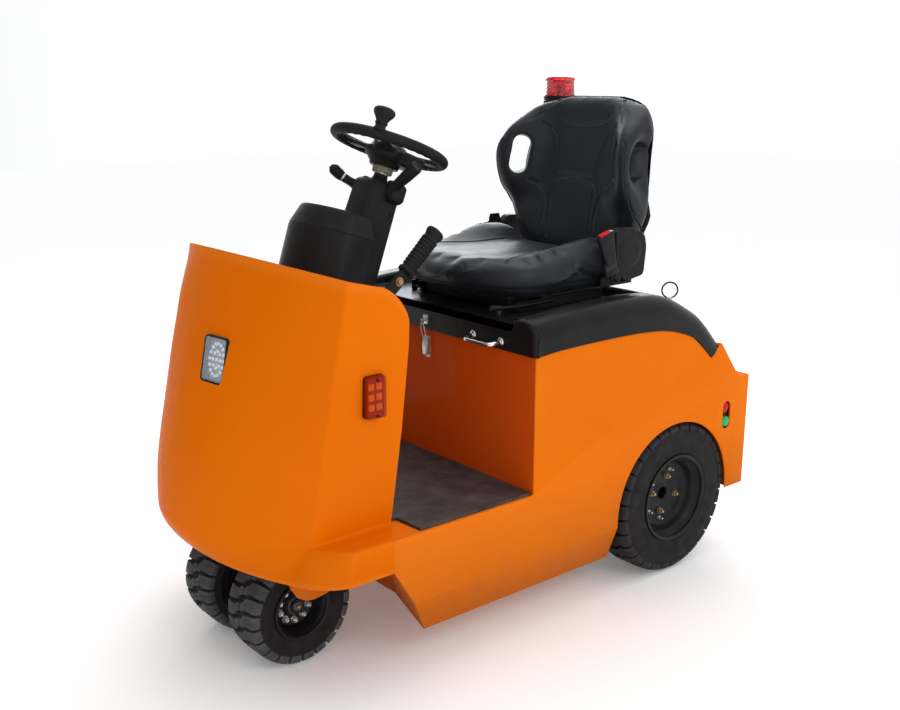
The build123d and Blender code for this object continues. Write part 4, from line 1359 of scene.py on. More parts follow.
VINYL_EDGE = vinyl("seat_piping", (0.011, 0.013, 0.017), (0.019, 0.022, 0.027), 0.1)
THREAD = plastic("seat_thread", (0.012, 0.013, 0.015), (0.020, 0.021, 0.024), (0.55, 0.7), 2600, 0.0001, 0.3, 0.1)
seat_back()
back_shell()
seat_cushion()


# ---------------------------------------------------------------- seat hardware
def prism_y(bm, points, y0, y1):
    """Solid with an (x, z) outline between two y values."""
    add_loft(bm, [[Vector((x, y, z)) for x, z in points] for y in (y0, y1)])


def side_covers():
    near = [(163, 919), (137, 929), (86, 924), (50, 906), (42, 873), (50, 799), (126, 788), (146, 808), (160, 854)]
    far = [(62, 880), (42, 903), (4, 903), (-16, 880), (-22, 800), (62, 790)]
    for side, s, outline in (("left", 1, near), ("right", -1, far)):
        bm = bmesh.new()
        ring = ring_smooth([Vector((x, 0, z)) for x, z in outline], 72, 2)
        c = sum(ring, Vector()) / len(ring)
        secs = []
        for y, k in ((250, 0.985), (268, 1.0), (274, 0.985), (277.4, 0.94)):
            secs.append([Vector((c.x + (p.x - c.x) * k, s * y, c.z + (p.z - c.z) * k)) for p in ring])
        add_loft(bm, secs)
        # raised boss round the recliner pivot
        mtx = frame_at((107, s * 270, 866), (0, s, 0))
        if s > 0:
            add_turned(bm, mtx, [(0, 0), (43, 0), (42.5, 6.8), (38, 8.6), (30, 9.0), (14, 9.1), (0, 9.1)], n=48)
        finish_piece(bm, "seat_side_cover_" + side, BLACK_FINE, "battery_lid", ("seat_side_covers",) if s > 0 else (), sharp=32)
        bm = bmesh.new()
        # steel hinge plate between the cover, the cushion pan and the back frame
        ring = [(66, 778), (182, 778), (182, 800), (150, 812), (134, 850), (112, 912), (78, 912), (64, 870)]
        prism_y(bm, ring, s * 246.6, s * 250.0)
        bevel_sharp(bm, 1.0, 1, 40)
        finish_piece(bm, "seat_hinge_plate_" + side, BLACK_STEEL, "battery_lid", (), sharp=30)


def near_buckle():
    up = (P(214, 287, 921) - P(180, 287, 812))
    zdir = Vector((214 - 180, 0, 921 - 812)).normalized()
    mtx = frame_at((203, 287.5, 886), zdir, (1, 0, 0))
    bm = bmesh.new()
    # body of the buckle, wider at the mouth
    secs = []
    for h, w, d in ((-44, 34, 11), (-40, 38, 13.4), (-10, 44, 14), (24, 52, 15), (33, 53, 15), (36, 50, 12.5)):
        sec = []
        for i in range(32):
            a = 2 * math.pi * i / 32
            cx, sy = math.cos(a), math.sin(a)
            sec.append(mtx @ Vector((w / 2 * math.copysign(abs(cx) ** 0.45, cx), d / 2 * math.copysign(abs(sy) ** 0.5, sy), h)))
        secs.append(sec)
    add_loft(bm, secs)
    finish_piece(bm, "belt_buckle_body", BLACK_FINE, "battery_lid", ("belt_buckles",), sharp=40)
    bm = bmesh.new()
    add_box(bm, -14, 21, -6.4, 6.4, 30, 40.5, 2.6, 3, mtx)
    finish_piece(bm, "belt_release_button", RED_BUTTON, "battery_lid", (), sharp=35)
    bm = bmesh.new()
    add_box(bm, -24, -15.5, -5.2, 5.2, 31, 37.8, 1.2, 2, mtx)
    finish_piece(bm, "belt_buckle_mouth", STEEL, "battery_lid", (), sharp=35)
    # webbing strap and steel anchor down to the bolt
    bm = bmesh.new()
    add_box(bm, -20, 20, -2.2, 2.2, -62, -38, 0.8, 2, mtx)
    for k in range(6):
        add_box(bm, -20.4, 20.4, -2.9, 2.9, -60 + k * 4, -58.4 + k * 4, 0.5, 1, mtx)
    finish_piece(bm, "belt_webbing", WEBBING, "battery_lid", (), sharp=35)
    bm = bmesh.new()
    add_box(bm, -24, 24, -3.6, 3.6, -74, -60, 1.2, 2, mtx)
    prism = [(150, 838), (188, 824), (186, 800), (176, 790), (160, 790), (152, 802)]
    prism_y(bm, prism, 283.5, 288.5)
    add_turned(bm, frame_at((168, 286, 806), (0, 1, 0)), [(0, 0), (11, 0), (11, 5), (7, 7.6), (0, 7.6)], n=6)
    bevel_sharp(bm, 0.7, 1, 40)
    finish_piece(bm, "belt_anchor", BLACK_STEEL, "battery_lid", (), sharp=30)


def far_buckle():
    bm = bmesh.new()
    add_box(bm, 70, 128, -296, -275, 860, 882, 4.0, 3)
    finish_piece(bm, "belt_far_housing", BLACK_FINE, "battery_lid", (), sharp=35)
    bm = bmesh.new()
    latch = frame_at((97, -285, 886), (0.16, 0, 0.987), (1, 0, -0.16))
    add_box(bm, -30, 26, -14, 14, -1.6, 1.6, 1.2, 2, latch)
    add_box(bm, 20, 34, -11, 11, -3.0, 3.2, 1.6, 2, latch)
    finish_piece(bm, "belt_latch_plate", CHROME, "battery_lid", (), sharp=35)
    bm = bmesh.new()
    prism_y(bm, [(80, 868), (106, 868), (112, 842), (122, 806), (112, 800), (98, 806), (88, 842)], -288, -284)
    bevel_sharp(bm, 0.8, 1, 40)
    finish_piece(bm, "belt_far_anchor", BLACK_STEEL, "battery_lid", (), sharp=30)


def seat_frame():
    """Cushion pan, two slide rails and the front lever."""
    bm = bmesh.new()
    add_box(bm, 130, 440, -188, 188, 770.5, 775.8, 1.6, 2)
    for s in (1, -1):
        add_box(bm, 128, 430, s * 190 - 17, s * 190 + 17, 739.4, 751, 1.5, 2)
        add_box(bm, 128, 430, s * 190 - 17, s * 190 - 13, 749, 764, 0.8, 1)
        add_box(bm, 128, 430, s * 190 + 13, s * 190 + 17, 749, 764, 0.8, 1)
    add_box(bm, 150, 424, -150, 168, 739.4, 771, 4.0, 3)
    finish_piece(bm, "seat_pan_and_rails", BLACK_STEEL, "battery_lid", ("seat_base",), sharp=32)
    bm = bmesh.new()
    for s in (1, -1):
        add_box(bm, 120, 342, s * 190 - 10, s * 190 + 10, 752, 771, 1.2, 2)
        for k in range(9):
            add_box(bm, 176 + k * 17, 184 + k * 17, s * 190 + s * 9, s * 190 + s * 12.6, 755, 762, 0.6, 1)
    finish_piece(bm, "seat_slides", BLACK_STEEL, "battery_lid", (), sharp=32)
    bm = bmesh.new()
    add_tube(bm, smooth_path([(300, 208, 757), (380, 214, 757), (440, 216, 758), (486, 214, 760)], 6), 4.2, 12)
    add_tube(bm, smooth_path([(486, 214, 760), (500, 212, 761), (514, 209, 762)], 6), 7.0, 14)
    finish_piece(bm, "seat_slide_lever", BLACK_STEEL, "battery_lid", (), sharp=35)
    bm = bmesh.new()
    for x in (140, 440):
        for s in (1, -1):
            add_nut(bm, frame_at((x, s * 158, 739), (0, 0, 1)), 12, 6, 4, 3, 9)
    finish_piece(bm, "seat_rail_nuts", ZINC, "battery_lid", (), sharp=30)


def webbing_material():
    m = Mat("belt_webbing")
    c = m.mix(m.remap(m.wave(420, "Z"), 0.2, 0.8), (0.010, 0.010, 0.011), (0.028, 0.028, 0.030))
    c = m.mix(m.math("MULTIPLY", m.remap(m.noise(300, 4), 0.5, 0.7), 0.4, True), c, (0.05, 0.05, 0.052))
    m.link(c, "Base Color")
    m.set(rough=0.8, spec=0.2, sheen=0.2)
    m.bump(m.math("ADD", m.wave(420, "Z"), m.wave(520, "X")), 0.4, 0.0004)
    return m.m


WEBBING = webbing_material()
side_covers()
near_buckle()
far_buckle()
seat_frame()

# ---------------------------------------------------------------- hood over the battery
HOOD_PAIRS = [
    # low point (x, z) and top point (x, z) of the side, front to rear
    ((539, 678.5), (539, 757)), ((459, 685), (455, 763.5)), ((325, 687), (320, 771.5)), ((183, 685), (178, 771)), ((76, 675), (66, 757)),
    ((-13, 649), (-34, 711)), ((-56, 621), (-88, 674)), ((-107, 576), (-151, 611)),
]


def hood_shape():
    lows = smooth_path([(a[0], 0, a[1] + 0.6) for a, b in HOOD_PAIRS], 6)
    tops = smooth_path([(b[0], 0, b[1] + 0.6) for a, b in HOOD_PAIRS], 6)
    extra_l, extra_t = [], []
    for k, (a, b) in enumerate(zip(lows, tops)):
        extra_l.append(a)
        extra_t.append(b)
        if k + 1 < len(tops) and tops[k + 1].x < 112 < b.x + 60 and tops[k + 1].x > 20:
            for q in (1, 2):
                extra_l.append(a.lerp(lows[k + 1], q / 3))
                extra_t.append(b.lerp(tops[k + 1], q / 3))
    lows, tops = extra_l, extra_t
    HW, RO = 388.0, 41.0
    bm = bmesh.new()
    rows = []
    for a, b in zip(lows, tops):
        up = (b - a)
        h = up.length
        d = up / h
        drop = max(0.0, b.z - 739.2) * smooth01((b.x - 70) / 30)
        half = []
        for k in range(5):
            half.append((HW, a + d * (h - RO) * k / 4, 0.0))
        for k in range(1, 8):
            an = math.pi / 2 * k / 7
            half.append((HW - RO * (1 - math.cos(an)), b - d * RO * (1 - math.sin(an)), 0.0))
        half.append((342.0, b, 0.0))
        half.append((324.0, b, 0.0))
        for yy, dr in ((318.0, 0.012), (313.0, 0.06), (309.5, 0.16), (307.0, 0.30), (304.8, 0.55), (303.0, 0.78), (301.0, 0.90), (297.5, 0.975), (292.0, 1.0), (240.0, 1.0), (160.0, 1.0), (80.0, 1.0), (0.0, 1.0)):
            half.append((yy, b, dr))
        pts = [Vector((p.x, y, p.z - drop * k)) for y, p, k in half]
        full = pts + [Vector((p.x, -p.y, p.z)) for p in reversed(pts[:-1])]
        rows.append([bm.verts.new(p) for p in full])
    grid_faces(bm, rows)
    front = rows[0]
    fc = bm.faces.new(front)
    bmesh.ops.recalc_face_normals(bm, faces=bm.faces)
    fc.normal_update()
    if fc.normal.x < 0:
        bmesh.ops.reverse_faces(bm, faces=bm.faces)
    bm.normal_update()
    edges = [e for e in bm.edges if len(e.link_faces) == 2 and fc in e.link_faces]
    bmesh.ops.bevel(bm, geom=edges, offset=12.0, segments=6, profile=0.5, affect="EDGES", clamp_overlap=False)
    ob = finish_piece(bm, "hood_shell", HOOD_BLACK, "battery_lid", ("hood",), sharp=50, recalc=False)
    so = ob.modifiers.new("sheet", "SOLIDIFY")
    so.thickness = 0.005
    so.offset = -1
    apply_modifiers(ob, 50)
    return ob


HOOD_BLACK = plastic("hood_plastic", (0.0060, 0.0055, 0.0055), (0.0110, 0.0102, 0.0104), (0.24, 0.38), 420, 0.0005, 0.30, 0.15, spec=0.15, bevel=0.002)
hood_shape()


def hood_fittings():
    # chromed pull handle on two flanged feet
    bm = bmesh.new()
    add_tube(bm, smooth_path([(538, 175, 698), (556, 176, 696), (567, 179, 694), (573, 188, 693), (574, 200, 693), (574, 225, 693), (574, 248, 693), (573, 260, 693), (567, 269, 694), (556, 272, 696), (538, 273, 698)], 6), 5.0, 16)
    for y in (175, 273):
        add_turned(bm, frame_at((539, y, 698), (1, 0, 0)), [(0, 0), (10, 0), (10, 2.4), (8, 4.5), (6.5, 5.2), (0, 5.2)], n=24)
    finish_piece(bm, "hood_handle", CHROME, "battery_lid", ("grab_handle",), sharp=35)
    # toggle latch: keeper on the hood, body on the box
    bm = bmesh.new()
    add_box(bm, 538.6, 540.6, -15, 2, 692, 716, 0.8, 2)
    add_tube(bm, [(541, -14, 704), (548, -13.5, 703), (551, -8, 702), (551, -5, 702), (548, 0.5, 703), (541, 1, 704)], 2.2, 10)
    for y in (-12, -1):
        add_turned(bm, frame_at((540.4, y, 711), (1, 0, 0)), [(0, 0), (3.6, 0), (3.4, 1.6), (0, 2.4)], n=14)
    finish_piece(bm, "latch_keeper", STEEL, "battery_lid", (), sharp=35)
    bm = bmesh.new()
    add_box(bm, 532.8, 534.8, -17, 4, 606, 662, 0.8, 2)
    secs = []
    for z, w, x0, x1 in ((612, 7, 536, 544), (616, 9, 535.5, 546), (640, 9.5, 535.5, 547), (655, 8.5, 535.5, 545), (662, 6.5, 536, 542)):
        secs.append([Vector((x0, -6.5 - w, z)), Vector((x1 - 2, -6.5 - w, z)), Vector((x1, -6.5 - w * 0.7, z)), Vector((x1, -6.5 + w * 0.7, z)), Vector((x1 - 2, -6.5 + w, z)), Vector((x0, -6.5 + w, z))])
    add_loft(bm, secs)
    add_tube(bm, smooth_path([(541, -13.5, 650), (547, -13.5, 668), (551.5, -12.0, 690), (553, -6.5, 697), (551.5, -1.0, 690), (547, 0.5, 668), (541, 0.5, 650)], 5), 1.5, 10)
    for z in (609, 658):
        for y in (-14, 1):
            add_turned(bm, frame_at((534.6, y, z), (1, 0, 0)), [(0, 0), (2.6, 0), (2.4, 1.4), (0, 2.0)], n=12)
    bevel_sharp(bm, 0.5, 1, 50)
    finish_piece(bm, "latch_body", STEEL, "chassis", ("hood_latch",), sharp=32)
    # beacon
    bm = bmesh.new()
    mtx = frame_at((-140, -230, 0), (0, 0, 1))
    # foot flange on the sloping hood, post, dish and base
    fl = frame_at((-140, -230, 626), (-0.64, 0, 0.77), (1, 0, 0))
    add_turned(bm, fl, [(0, -12), (26, -12), (27, 1), (25, 4), (14, 6), (13, 10), (0, 10)], n=36)
    add_turned(bm, mtx, [(0, 628), (11, 628), (11, 1196), (14, 1198), (17, 1203), (38, 1205), (46, 1208), (47.5, 1212), (47.5, 1224), (46, 1226), (46, 1229), (47.5, 1231), (47.5, 1236.5), (44, 1238), (0, 1238)], n=48)
    finish_piece(bm, "beacon_stand", BLACK, "battery_lid", ("beacon_post",), sharp=35)
    bm = bmesh.new()
    prof = [(0, 1238), (43.0, 1238), (44.4, 1239.5)]
    for k in range(11):
        z = 1241 + k * 3.6
        prof += [(44.3 - k * 0.16, z), (43.0 - k * 0.16, z + 1.8)]
    prof += [(42.6, 1281.5), (43.4, 1283), (43.2, 1287), (41.0, 1290.8), (37, 1292.4), (14, 1293), (0, 1293)]
    add_turned(bm, mtx, prof, n=64)
    finish_piece(bm, "beacon_dome", RED, "battery_lid", ("beacon_lens",), sharp=24)
    bm = bmesh.new()
    add_turned(bm, mtx, [(0, 1238), (20, 1238), (20, 1244), (9, 1246), (9, 1258), (16, 1262), (19, 1268), (16, 1274), (9, 1277), (0, 1278)], n=32)
    finish_piece(bm, "beacon_reflector", CHROME, "battery_lid", (), sharp=30)
    # rear hinge screws
    bm = bmesh.new()
    for y in (-222, -204, -196, -178, 178, 196, 204, 222):
        mtx2 = frame_at((-178, y, 582), (-0.84, 0, 0.54), (0, 1, 0))
        add_turned(bm, mtx2, [(0, 0), (5.2, 0), (5.0, 2.0), (2.6, 3.0), (0, 3.0)], n=16)
    finish_piece(bm, "hinge_screws", ZINC, "chassis", (), sharp=30)


hood_fittings()

# ---------------------------------------------------------------- steering column, wheel and dash pod
TILT = math.radians(22.0)
AXS = Vector((-math.sin(TILT), 0, math.cos(TILT)))
FWD = Vector((math.cos(TILT), 0, math.sin(TILT)))
WC = Vector((651.0, 0.0, 1132.0))


def on_axis(down, f=0.0, left=0.0):
    return WC - AXS * down + FWD * f + Vector((0, left, 0))


def steer_matrix(down=0.0, turn=0.0):
    return frame_at(tuple(on_axis(down)), tuple(AXS), tuple(FWD)) @ Matrix.Rotation(turn, 4, "Z")


def rounded_rect(w, d, r, n=5):
    out = []
    for cx, cy, a0 in ((w / 2 - r, d / 2 - r, 0), (-w / 2 + r, d / 2 - r, 90), (-w / 2 + r, -d / 2 + r, 180), (w / 2 - r, -d / 2 + r, 270)):
        for k in range(n + 1):
            a = math.radians(a0 + 90 * k / n)
            out.append((cx + r * math.cos(a), cy + r * math.sin(a)))
    return out


def chamfer_rect(w, d, c):
    return [(w / 2, d / 2 - c), (w / 2 - c, d / 2), (-w / 2 + c, d / 2), (-w / 2, d / 2 - c), (-w / 2, -d / 2 + c), (-w / 2 + c, -d / 2), (w / 2 - c, -d / 2), (w / 2, -d / 2 + c)]


def column():
    bm = bmesh.new()
    foot = 356.6
    secs = []
    for down in (800, 640, 480, 320, 200, 96, 86.5):
        w = lerp(90, 115, (down - 86) / 664.0)
        c = 13.0
        if down < 90:
            w -= 12
            c = 10
        secs.append([on_axis(down) + FWD * x + Vector((0, y, 0)) for x, y in chamfer_rect(w, w, c)])
    for k, p in enumerate(secs[0]):
        q = secs[1][k]
        t = (foot - q.z) / (p.z - q.z)
        secs[0][k] = q.lerp(p, t)
    add_loft(bm, secs)
    bevel_sharp(bm, 2.2, 2, 22)
    # neck skirt
    add_turned(bm, steer_matrix(86.5), [(0, 0), (26, 0), (25, 2), (19, 8), (17, 14), (16.5, 20), (0, 20)], n=40)
    finish_piece(bm, "column_housing", BLACK_FINE, "chassis", ("column_cover",), sharp=30)
    bm = bmesh.new()
    # seam screws down both side faces of the housing
    for s in (1, -1):
        for down in (150, 330, 520):
            w = lerp(90, 115, (down - 86) / 664.0)
            mtx = frame_at(tuple(on_axis(down, -w * 0.28, s * w / 2)), (0, s, 0), tuple(AXS))
            add_turned(bm, mtx, [(0, 0), (5, 0), (4.6, 1.6), (2, 2.3), (0, 2.3)], n=16)
    # foot flange on the deck
    foot_c = on_axis(800).lerp(on_axis(640), 0.5)
    t = (WC.z - 357.0) / AXS.z
    fc = on_axis(t)
    base = [Vector((fc.x + x, y, 356.2)) for x, y in rounded_rect(150, 140, 10)]
    topr = [Vector((fc.x + x, y, 360.0)) for x, y in rounded_rect(149, 139, 10)]
    add_loft(bm, [base, topr])
    for x, y in ((64, 60), (64, -60), (-64, 60), (-64, -60)):
        add_hex(bm, frame_at((fc.x + x, y, 360.0), (0, 0, 1)), 12, 6)
    finish_piece(bm, "column_fixings", BLACK_STEEL, "chassis", (), sharp=30)


def steering():
    R, r = 130.5, 12.9
    body = "steering_column_wheel"
    turn = 0.0
    mtx = steer_matrix(0.0)
    bm = bmesh.new()
    rows = []
    N, M = 216, 22
    for i in range(N):
        a = 2 * math.pi * i / N
        ring = []
        for j in range(M):
            b = 2 * math.pi * j / M
            # finger grips on the inner lower side of the rim
            grip = max(0.0, math.cos(b - math.radians(205))) ** 1.5
            rr = r - 2.9 * grip * (0.5 + 0.5 * math.cos(a * 36))
            ring.append(bm.verts.new(mtx @ Vector(((R + rr * math.cos(b)) * math.cos(a), (R + rr * math.cos(b)) * math.sin(a), rr * math.sin(b)))))
        rows.append(ring)
    grid_faces(bm, rows, close_u=True, close_v=True)
    finish_piece(bm, "steering_rim", GRIP, body, ("steering_wheel",), sharp=60)
    # hub with a conical underside and three broad spokes
    bm = bmesh.new()
    add_turned(bm, mtx, [(0, 8), (30, 8), (38, 5.5), (43, 0), (46, -6), (52, -10), (54, -17), (51, -26), (44, -32), (41, -36), (39, -38), (37, -40), (35, -47), (33, -49), (0, -49)], n=56)
    for deg in (40, 160, 280):
        a = math.radians(deg)
        d = Vector((math.cos(a), math.sin(a), 0))
        q = Vector((-math.sin(a), math.cos(a), 0))
        secs = []
        for rr, w, z0, z1 in ((20, 66, -24, -2), (38, 60, -22, -3), (60, 44, -15, -2), (84, 36, -9, 1), (106, 38, -7, 4), (118, 50, -7, 6), (127, 62, -6, 6)):
            sec = []
            for x, z in rounded_rect(w, z1 - z0, min(4.5, (z1 - z0) / 2 - 0.2), 4):
                sec.append(mtx @ (d * rr + q * x + Vector((0, 0, (z0 + z1) / 2 + z))))
            secs.append(sec)
        add_loft(bm, secs)
    # padded lower block of the hub, towards the driver
    secs = []
    for z, w, dd in ((-40, 56, 52), (-37, 66, 62), (-12, 74, 70), (-7, 68, 64)):
        secs.append([mtx @ Vector((-30 + x, 34 + y, z)) for x, y in rounded_rect(w, dd, 12)])
    add_loft(bm, secs)
    finish_piece(bm, "steering_hub", BLACK_FINE, body, (), sharp=40)
    bm = bmesh.new()
    add_turned(bm, mtx, [(0, 8), (20, 8), (20, 10), (18, 12), (6, 13.2), (0, 13.3)], n=40)
    finish_piece(bm, "horn_button", BLACK, body, (), sharp=35)
    bm = bmesh.new()
    add_turned(bm, mtx, [(17, -49), (24.4, -49), (24.4, -62), (23, -63.5), (17, -63.5)], n=48, close=True)
    finish_piece(bm, "steering_bearing_ring", CREAM, body, (), sharp=35)
    bm = bmesh.new()
    add_turned(bm, mtx, [(0, -49), (16.6, -49), (15.6, -60), (15.6, -84), (0, -84)], n=32)
    add_turned(bm, mtx @ Matrix.Translation((104 * math.cos(math.radians(40)), 104 * math.sin(math.radians(40)), -9.5)), [(0, 1.6), (4.4, 1.6), (4.2, -1.2), (2.0, -2.2), (0, -2.2)], n=16)
    finish_piece(bm, "steering_shaft", STEEL, body, (), sharp=35)
    # spinner knob on its clamp
    ka = math.radians(40)
    km = mtx @ Matrix.Translation((R * math.cos(ka), R * math.sin(ka), -6))
    bm = bmesh.new()
    add_turned(bm, km, [(0, 13), (15, 13), (15.2, 17), (14, 20), (12.4, 22), (12.4, 27), (14.6, 29), (14.6, 32), (13.6, 34), (15, 38), (19, 44), (23.5, 50), (25, 54), (25, 58), (23.6, 62), (20, 65), (12, 67.4), (0, 68.2)], n=44)
    finish_piece(bm, "spinner_knob", BLACK_FINE, body, ("steering_knob",), sharp=40)


def stalks():
    bm = bmesh.new()
    # near-side direction stalk on a rounded boss
    a, b = Vector((684, 42, 1034)), Vector((655, 110, 1094))
    d = (b - a).normalized()
    mtx = frame_at(tuple(a), tuple(d), (1, 0, 0))
    L = (b - a).length
    add_turned(bm, mtx, [(0, -4), (16, -4), (15, 4), (13, 12), (12.2, 26), (13.0, 40), (14.4, 58), (15, L - 4), (14, L), (12.2, L + 0.6), (11.4, L - 0.8), (0, L - 0.8)], n=28)
    finish_piece(bm, "direction_stalk", BLACK_FINE, "chassis", ("control_stalks",), sharp=35)
    bm = bmesh.new()
    secs = []
    mb = frame_at((671, 40, 1030), (0, 1, 0), tuple(AXS))
    for h, k in ((-4, 1.06), (4, 1.04), (14, 0.96), (21, 0.84), (24, 0.70)):
        secs.append([mb @ Vector((x * k, y * k, h)) for x, y in rounded_rect(50, 46, 12, 6)])
    add_loft(bm, secs)
    secs = []
    mb = frame_at((690, -42, 1036), (0, -1, 0), tuple(AXS))
    for h, k in ((-4, 1.05), (8, 1.0), (20, 0.92), (29, 0.74)):
        secs.append([mb @ Vector((x * k, y * k, h)) for x, y in rounded_rect(52, 46, 13, 6)])
    add_loft(bm, secs)
    finish_piece(bm, "stalk_bosses", BLACK_FINE, "chassis", (), sharp=40)
    bm = bmesh.new()
    path = smooth_path([(696, -60, 1040), (704, -72, 1046), (712, -86, 1054), (722, -98, 1064), (733, -107, 1077), (741, -112, 1088)], 5)
    n = len(path)
    rad = []
    for i in range(n):
        t = i / (n - 1)
        rad.append(15.5 - 5.0 * smooth01(t * 3) + 3.2 * smooth01((t - 0.45) * 4) - 8.0 * smooth01((t - 0.84) * 6))
    add_tube(bm, path, rad, 18)
    finish_piece(bm, "switch_lever", BLACK_FINE, "chassis", (), sharp=50)
    bm = bmesh.new()
    c = path[int(n * 0.5)]
    d = (path[int(n * 0.5) + 1] - path[int(n * 0.5) - 1]).normalized()
    add_turned(bm, frame_at(tuple(c), tuple(d), (1, 0, 0)), [(9.6, -2.6), (12.0, -2.4), (12.4, 0), (12.0, 2.4), (9.6, 2.6)], n=24, close=True)
    finish_piece(bm, "switch_lever_collar", ZINC, "chassis", (), sharp=35)


def dash_pod():
    lean = math.radians(18.0)
    ax = Vector((-math.sin(lean), 0, math.cos(lean)))
    fx = Vector((ax.z, 0, -ax.x))

    def plan(inset, n=6):
        pts = [(-12, -132 + inset), (-12, 0), (25 + inset, 0), (25 + inset, 62 - inset)]
        a, m, b = (94 - inset * 0.5, 62 - inset), (154 - inset, -30.0), (140 - inset, -132 + inset)
        pts.append(a)
        for k in range(1, 24):
            pts.append(arc3(a, m, b, k / 24))
        pts.append(b)
        # round the two front corners
        def corner(prev, c, nxt, r):
            u = Vector((prev[0] - c[0], prev[1] - c[1])).normalized() * r
            v = Vector((nxt[0] - c[0], nxt[1] - c[1])).normalized() * r
            p, q = Vector(c) + u, Vector(c) + v
            return [tuple(p * (1 - t) ** 2 + 2 * t * (1 - t) * Vector(c) + q * t * t) for t in [k / n for k in range(n + 1)]]
        arc = pts[5:-1]
        r1 = arc[5:-3]
        out = pts[:4] + corner(pts[3], a, r1[0], 18) + r1 + corner(r1[-1], b, pts[0], 14)
        return out

    bm = bmesh.new()
    secs = []
    for up, inset in ((-500, 0), (-440, 0), (-380, 0), (-320, 0), (-270, 0), (-232, 0), (-225.5, 0), (-224.4, 1.1), (-223.4, 1.1), (-222.4, 0.2), (-207, 4.6), (-191, 9.0), (-179, 12.2), (-175, 14.6), (-172.6, 17.0), (-172, 21), (-172, 27)):
        secs.append([WC + ax * up + fx * f + Vector((0, y, 0)) for f, y in plan(inset)])
    add_loft(bm, secs)
    finish_piece(bm, "dash_pod_cover", BLACK_SATIN, "chassis", ("dash_pod",), sharp=24)


def handbrake():
    a, b = Vector((850, 170, 770)), Vector((735, 170, 870))
    d = (b - a).normalized()
    side = Vector((0, 1, 0))
    bm = bmesh.new()
    mtx = frame_at(tuple(a - d * 6), tuple(d), (0, 1, 0))
    L = (b - a).length
    secs = []
    for h, w, t in ((-60, 32, 10), (0, 32, 10), (L + 8, 28, 10)):
        secs.append([mtx @ Vector((x, y, h)) for x, y in rounded_rect(t, w, 2.2, 3)])
    add_loft(bm, secs)
    # ratchet bracket fixed inside the front panel
    prism_y(bm, [(842, 820), (872, 800), (884, 740), (884, 640), (868, 636), (852, 700), (836, 770)], 158, 163.6)
    finish_piece(bm, "handbrake_shaft", BLACK_STEEL, "chassis", ("handbrake_lever",), sharp=32)
    bm = bmesh.new()
    g0, g1 = Vector((738, 170, 867.5)), Vector((648, 170, 952))
    gd = (g1 - g0).normalized()
    GL = (g1 - g0).length
    mtx = frame_at(tuple(g0), tuple(gd), (0, 1, 0))
    prof = [(0, 0), (17.5, 0), (19, 2.5), (18.5, 8), (15.5, 11)]
    for k in range(9):
        h0 = 16 + k * 9.4
        prof += [(15.2 + k * 0.16, h0), (17.2 + k * 0.16, h0 + 1.8), (17.2 + k * 0.16, h0 + 6.2), (15.2 + k * 0.16, h0 + 8.0)]
    prof += [(16.6, 103), (18.0, 108), (20.0, 115), (20.5, 119), (18.5, GL - 0.6), (9, GL + 0.8), (0, GL + 0.8)]
    add_turned(bm, mtx @ Matrix.Diagonal((1.0, 1.12, 1, 1)), prof, n=40)
    finish_piece(bm, "handbrake_grip", GRIP, "chassis", (), sharp=30)
    bm = bmesh.new()
    p = a + d * 122
    add_turned(bm, frame_at((p.x, 175.0, p.z), (0, 1, 0)), [(0, 0), (10.5, 0), (10.5, 1.6), (7.4, 1.6), (7.4, 6.4), (6.4, 7.4), (0, 7.4)], n=24)
    finish_piece(bm, "handbrake_bolt", BRASS, "chassis", (), sharp=30)


def pedals():
    bm = bmesh.new()
    for x0, y0, y1, z0, z1 in ((960, 80, 160, 375, 440), (950, -150, -90, 370, 460)):
        m = frame_at((x0 + 6, (y0 + y1) / 2, (z0 + z1) / 2), (-0.94, 0, 0.34), (0, 1, 0))
        w, h = y1 - y0, z1 - z0
        secs = [[m @ Vector((x, y, t)) for x, y in rounded_rect(w * k, h * k, 8, 4)] for t, k in ((-6, 0.97), (2, 1.0), (5, 0.97))]
        add_loft(bm, secs)
        for k in range(6):
            yy = -h * 0.36 + k * h * 0.144
            add_box(bm, -w * 0.42, w * 0.42, yy - 2.2, yy + 2.2, 4.5, 7.6, 0.8, 1, m)
    finish_piece(bm, "pedal_pads", GRIP, "chassis", ("pedals",), sharp=32)
    bm = bmesh.new()
    add_tube(bm, smooth_path([(968, 120, 404), (984, 120, 440), (1000, 120, 500), (1004, 120, 556), (996, 120, 600)], 5), 7.5, 12)
    add_tube(bm, smooth_path([(962, -120, 404), (980, -120, 380), (1000, -120, 362), (1016, -120, 356)], 5), 7.0, 12)
    add_box(bm, 985, 1008, 96, 144, 560, 604, 2.5, 2)
    finish_piece(bm, "pedal_arms", BLACK_STEEL, "chassis", (), sharp=35)


BLACK_SATIN = plastic("pod_plastic", (0.0100, 0.0095, 0.0098), (0.0155, 0.0150, 0.0155), (0.30, 0.42), 620, 0.0004, 0.32, 0.16, spec=0.15)
column()
steering()
stalks()
dash_pod()
handbrake()
pedals()


# ---------------------------------------------------------------- lamps
def emissive(name, color, tint, glow):
    m = Mat(name)
    c = m.mix(m.remap(m.noise(260, 2), 0.35, 0.65), color, tint)
    m.link(c, "Base Color")
    m.link(m.remap(m.noise(90, 2), 0.3, 0.7, 0.18, 0.32), "Roughness")
    m.set(emit=glow, emit_color=(*color, 1.0))
    m.bump(m.noise(300, 2), 0.1, 0.0002)
    return m.m


LED_WHITE = emissive("led_white", (0.92, 0.96, 1.0), (0.80, 0.86, 0.92), 0.35)
LED_AMBER = emissive("led_amber", (0.95, 0.26, 0.012), (0.85, 0.19, 0.010), 0.22)
REFLECT = metal("lamp_reflector", (0.50, 0.54, 0.57), (0.36, 0.40, 0.44), (0.25, 0.4), 500)


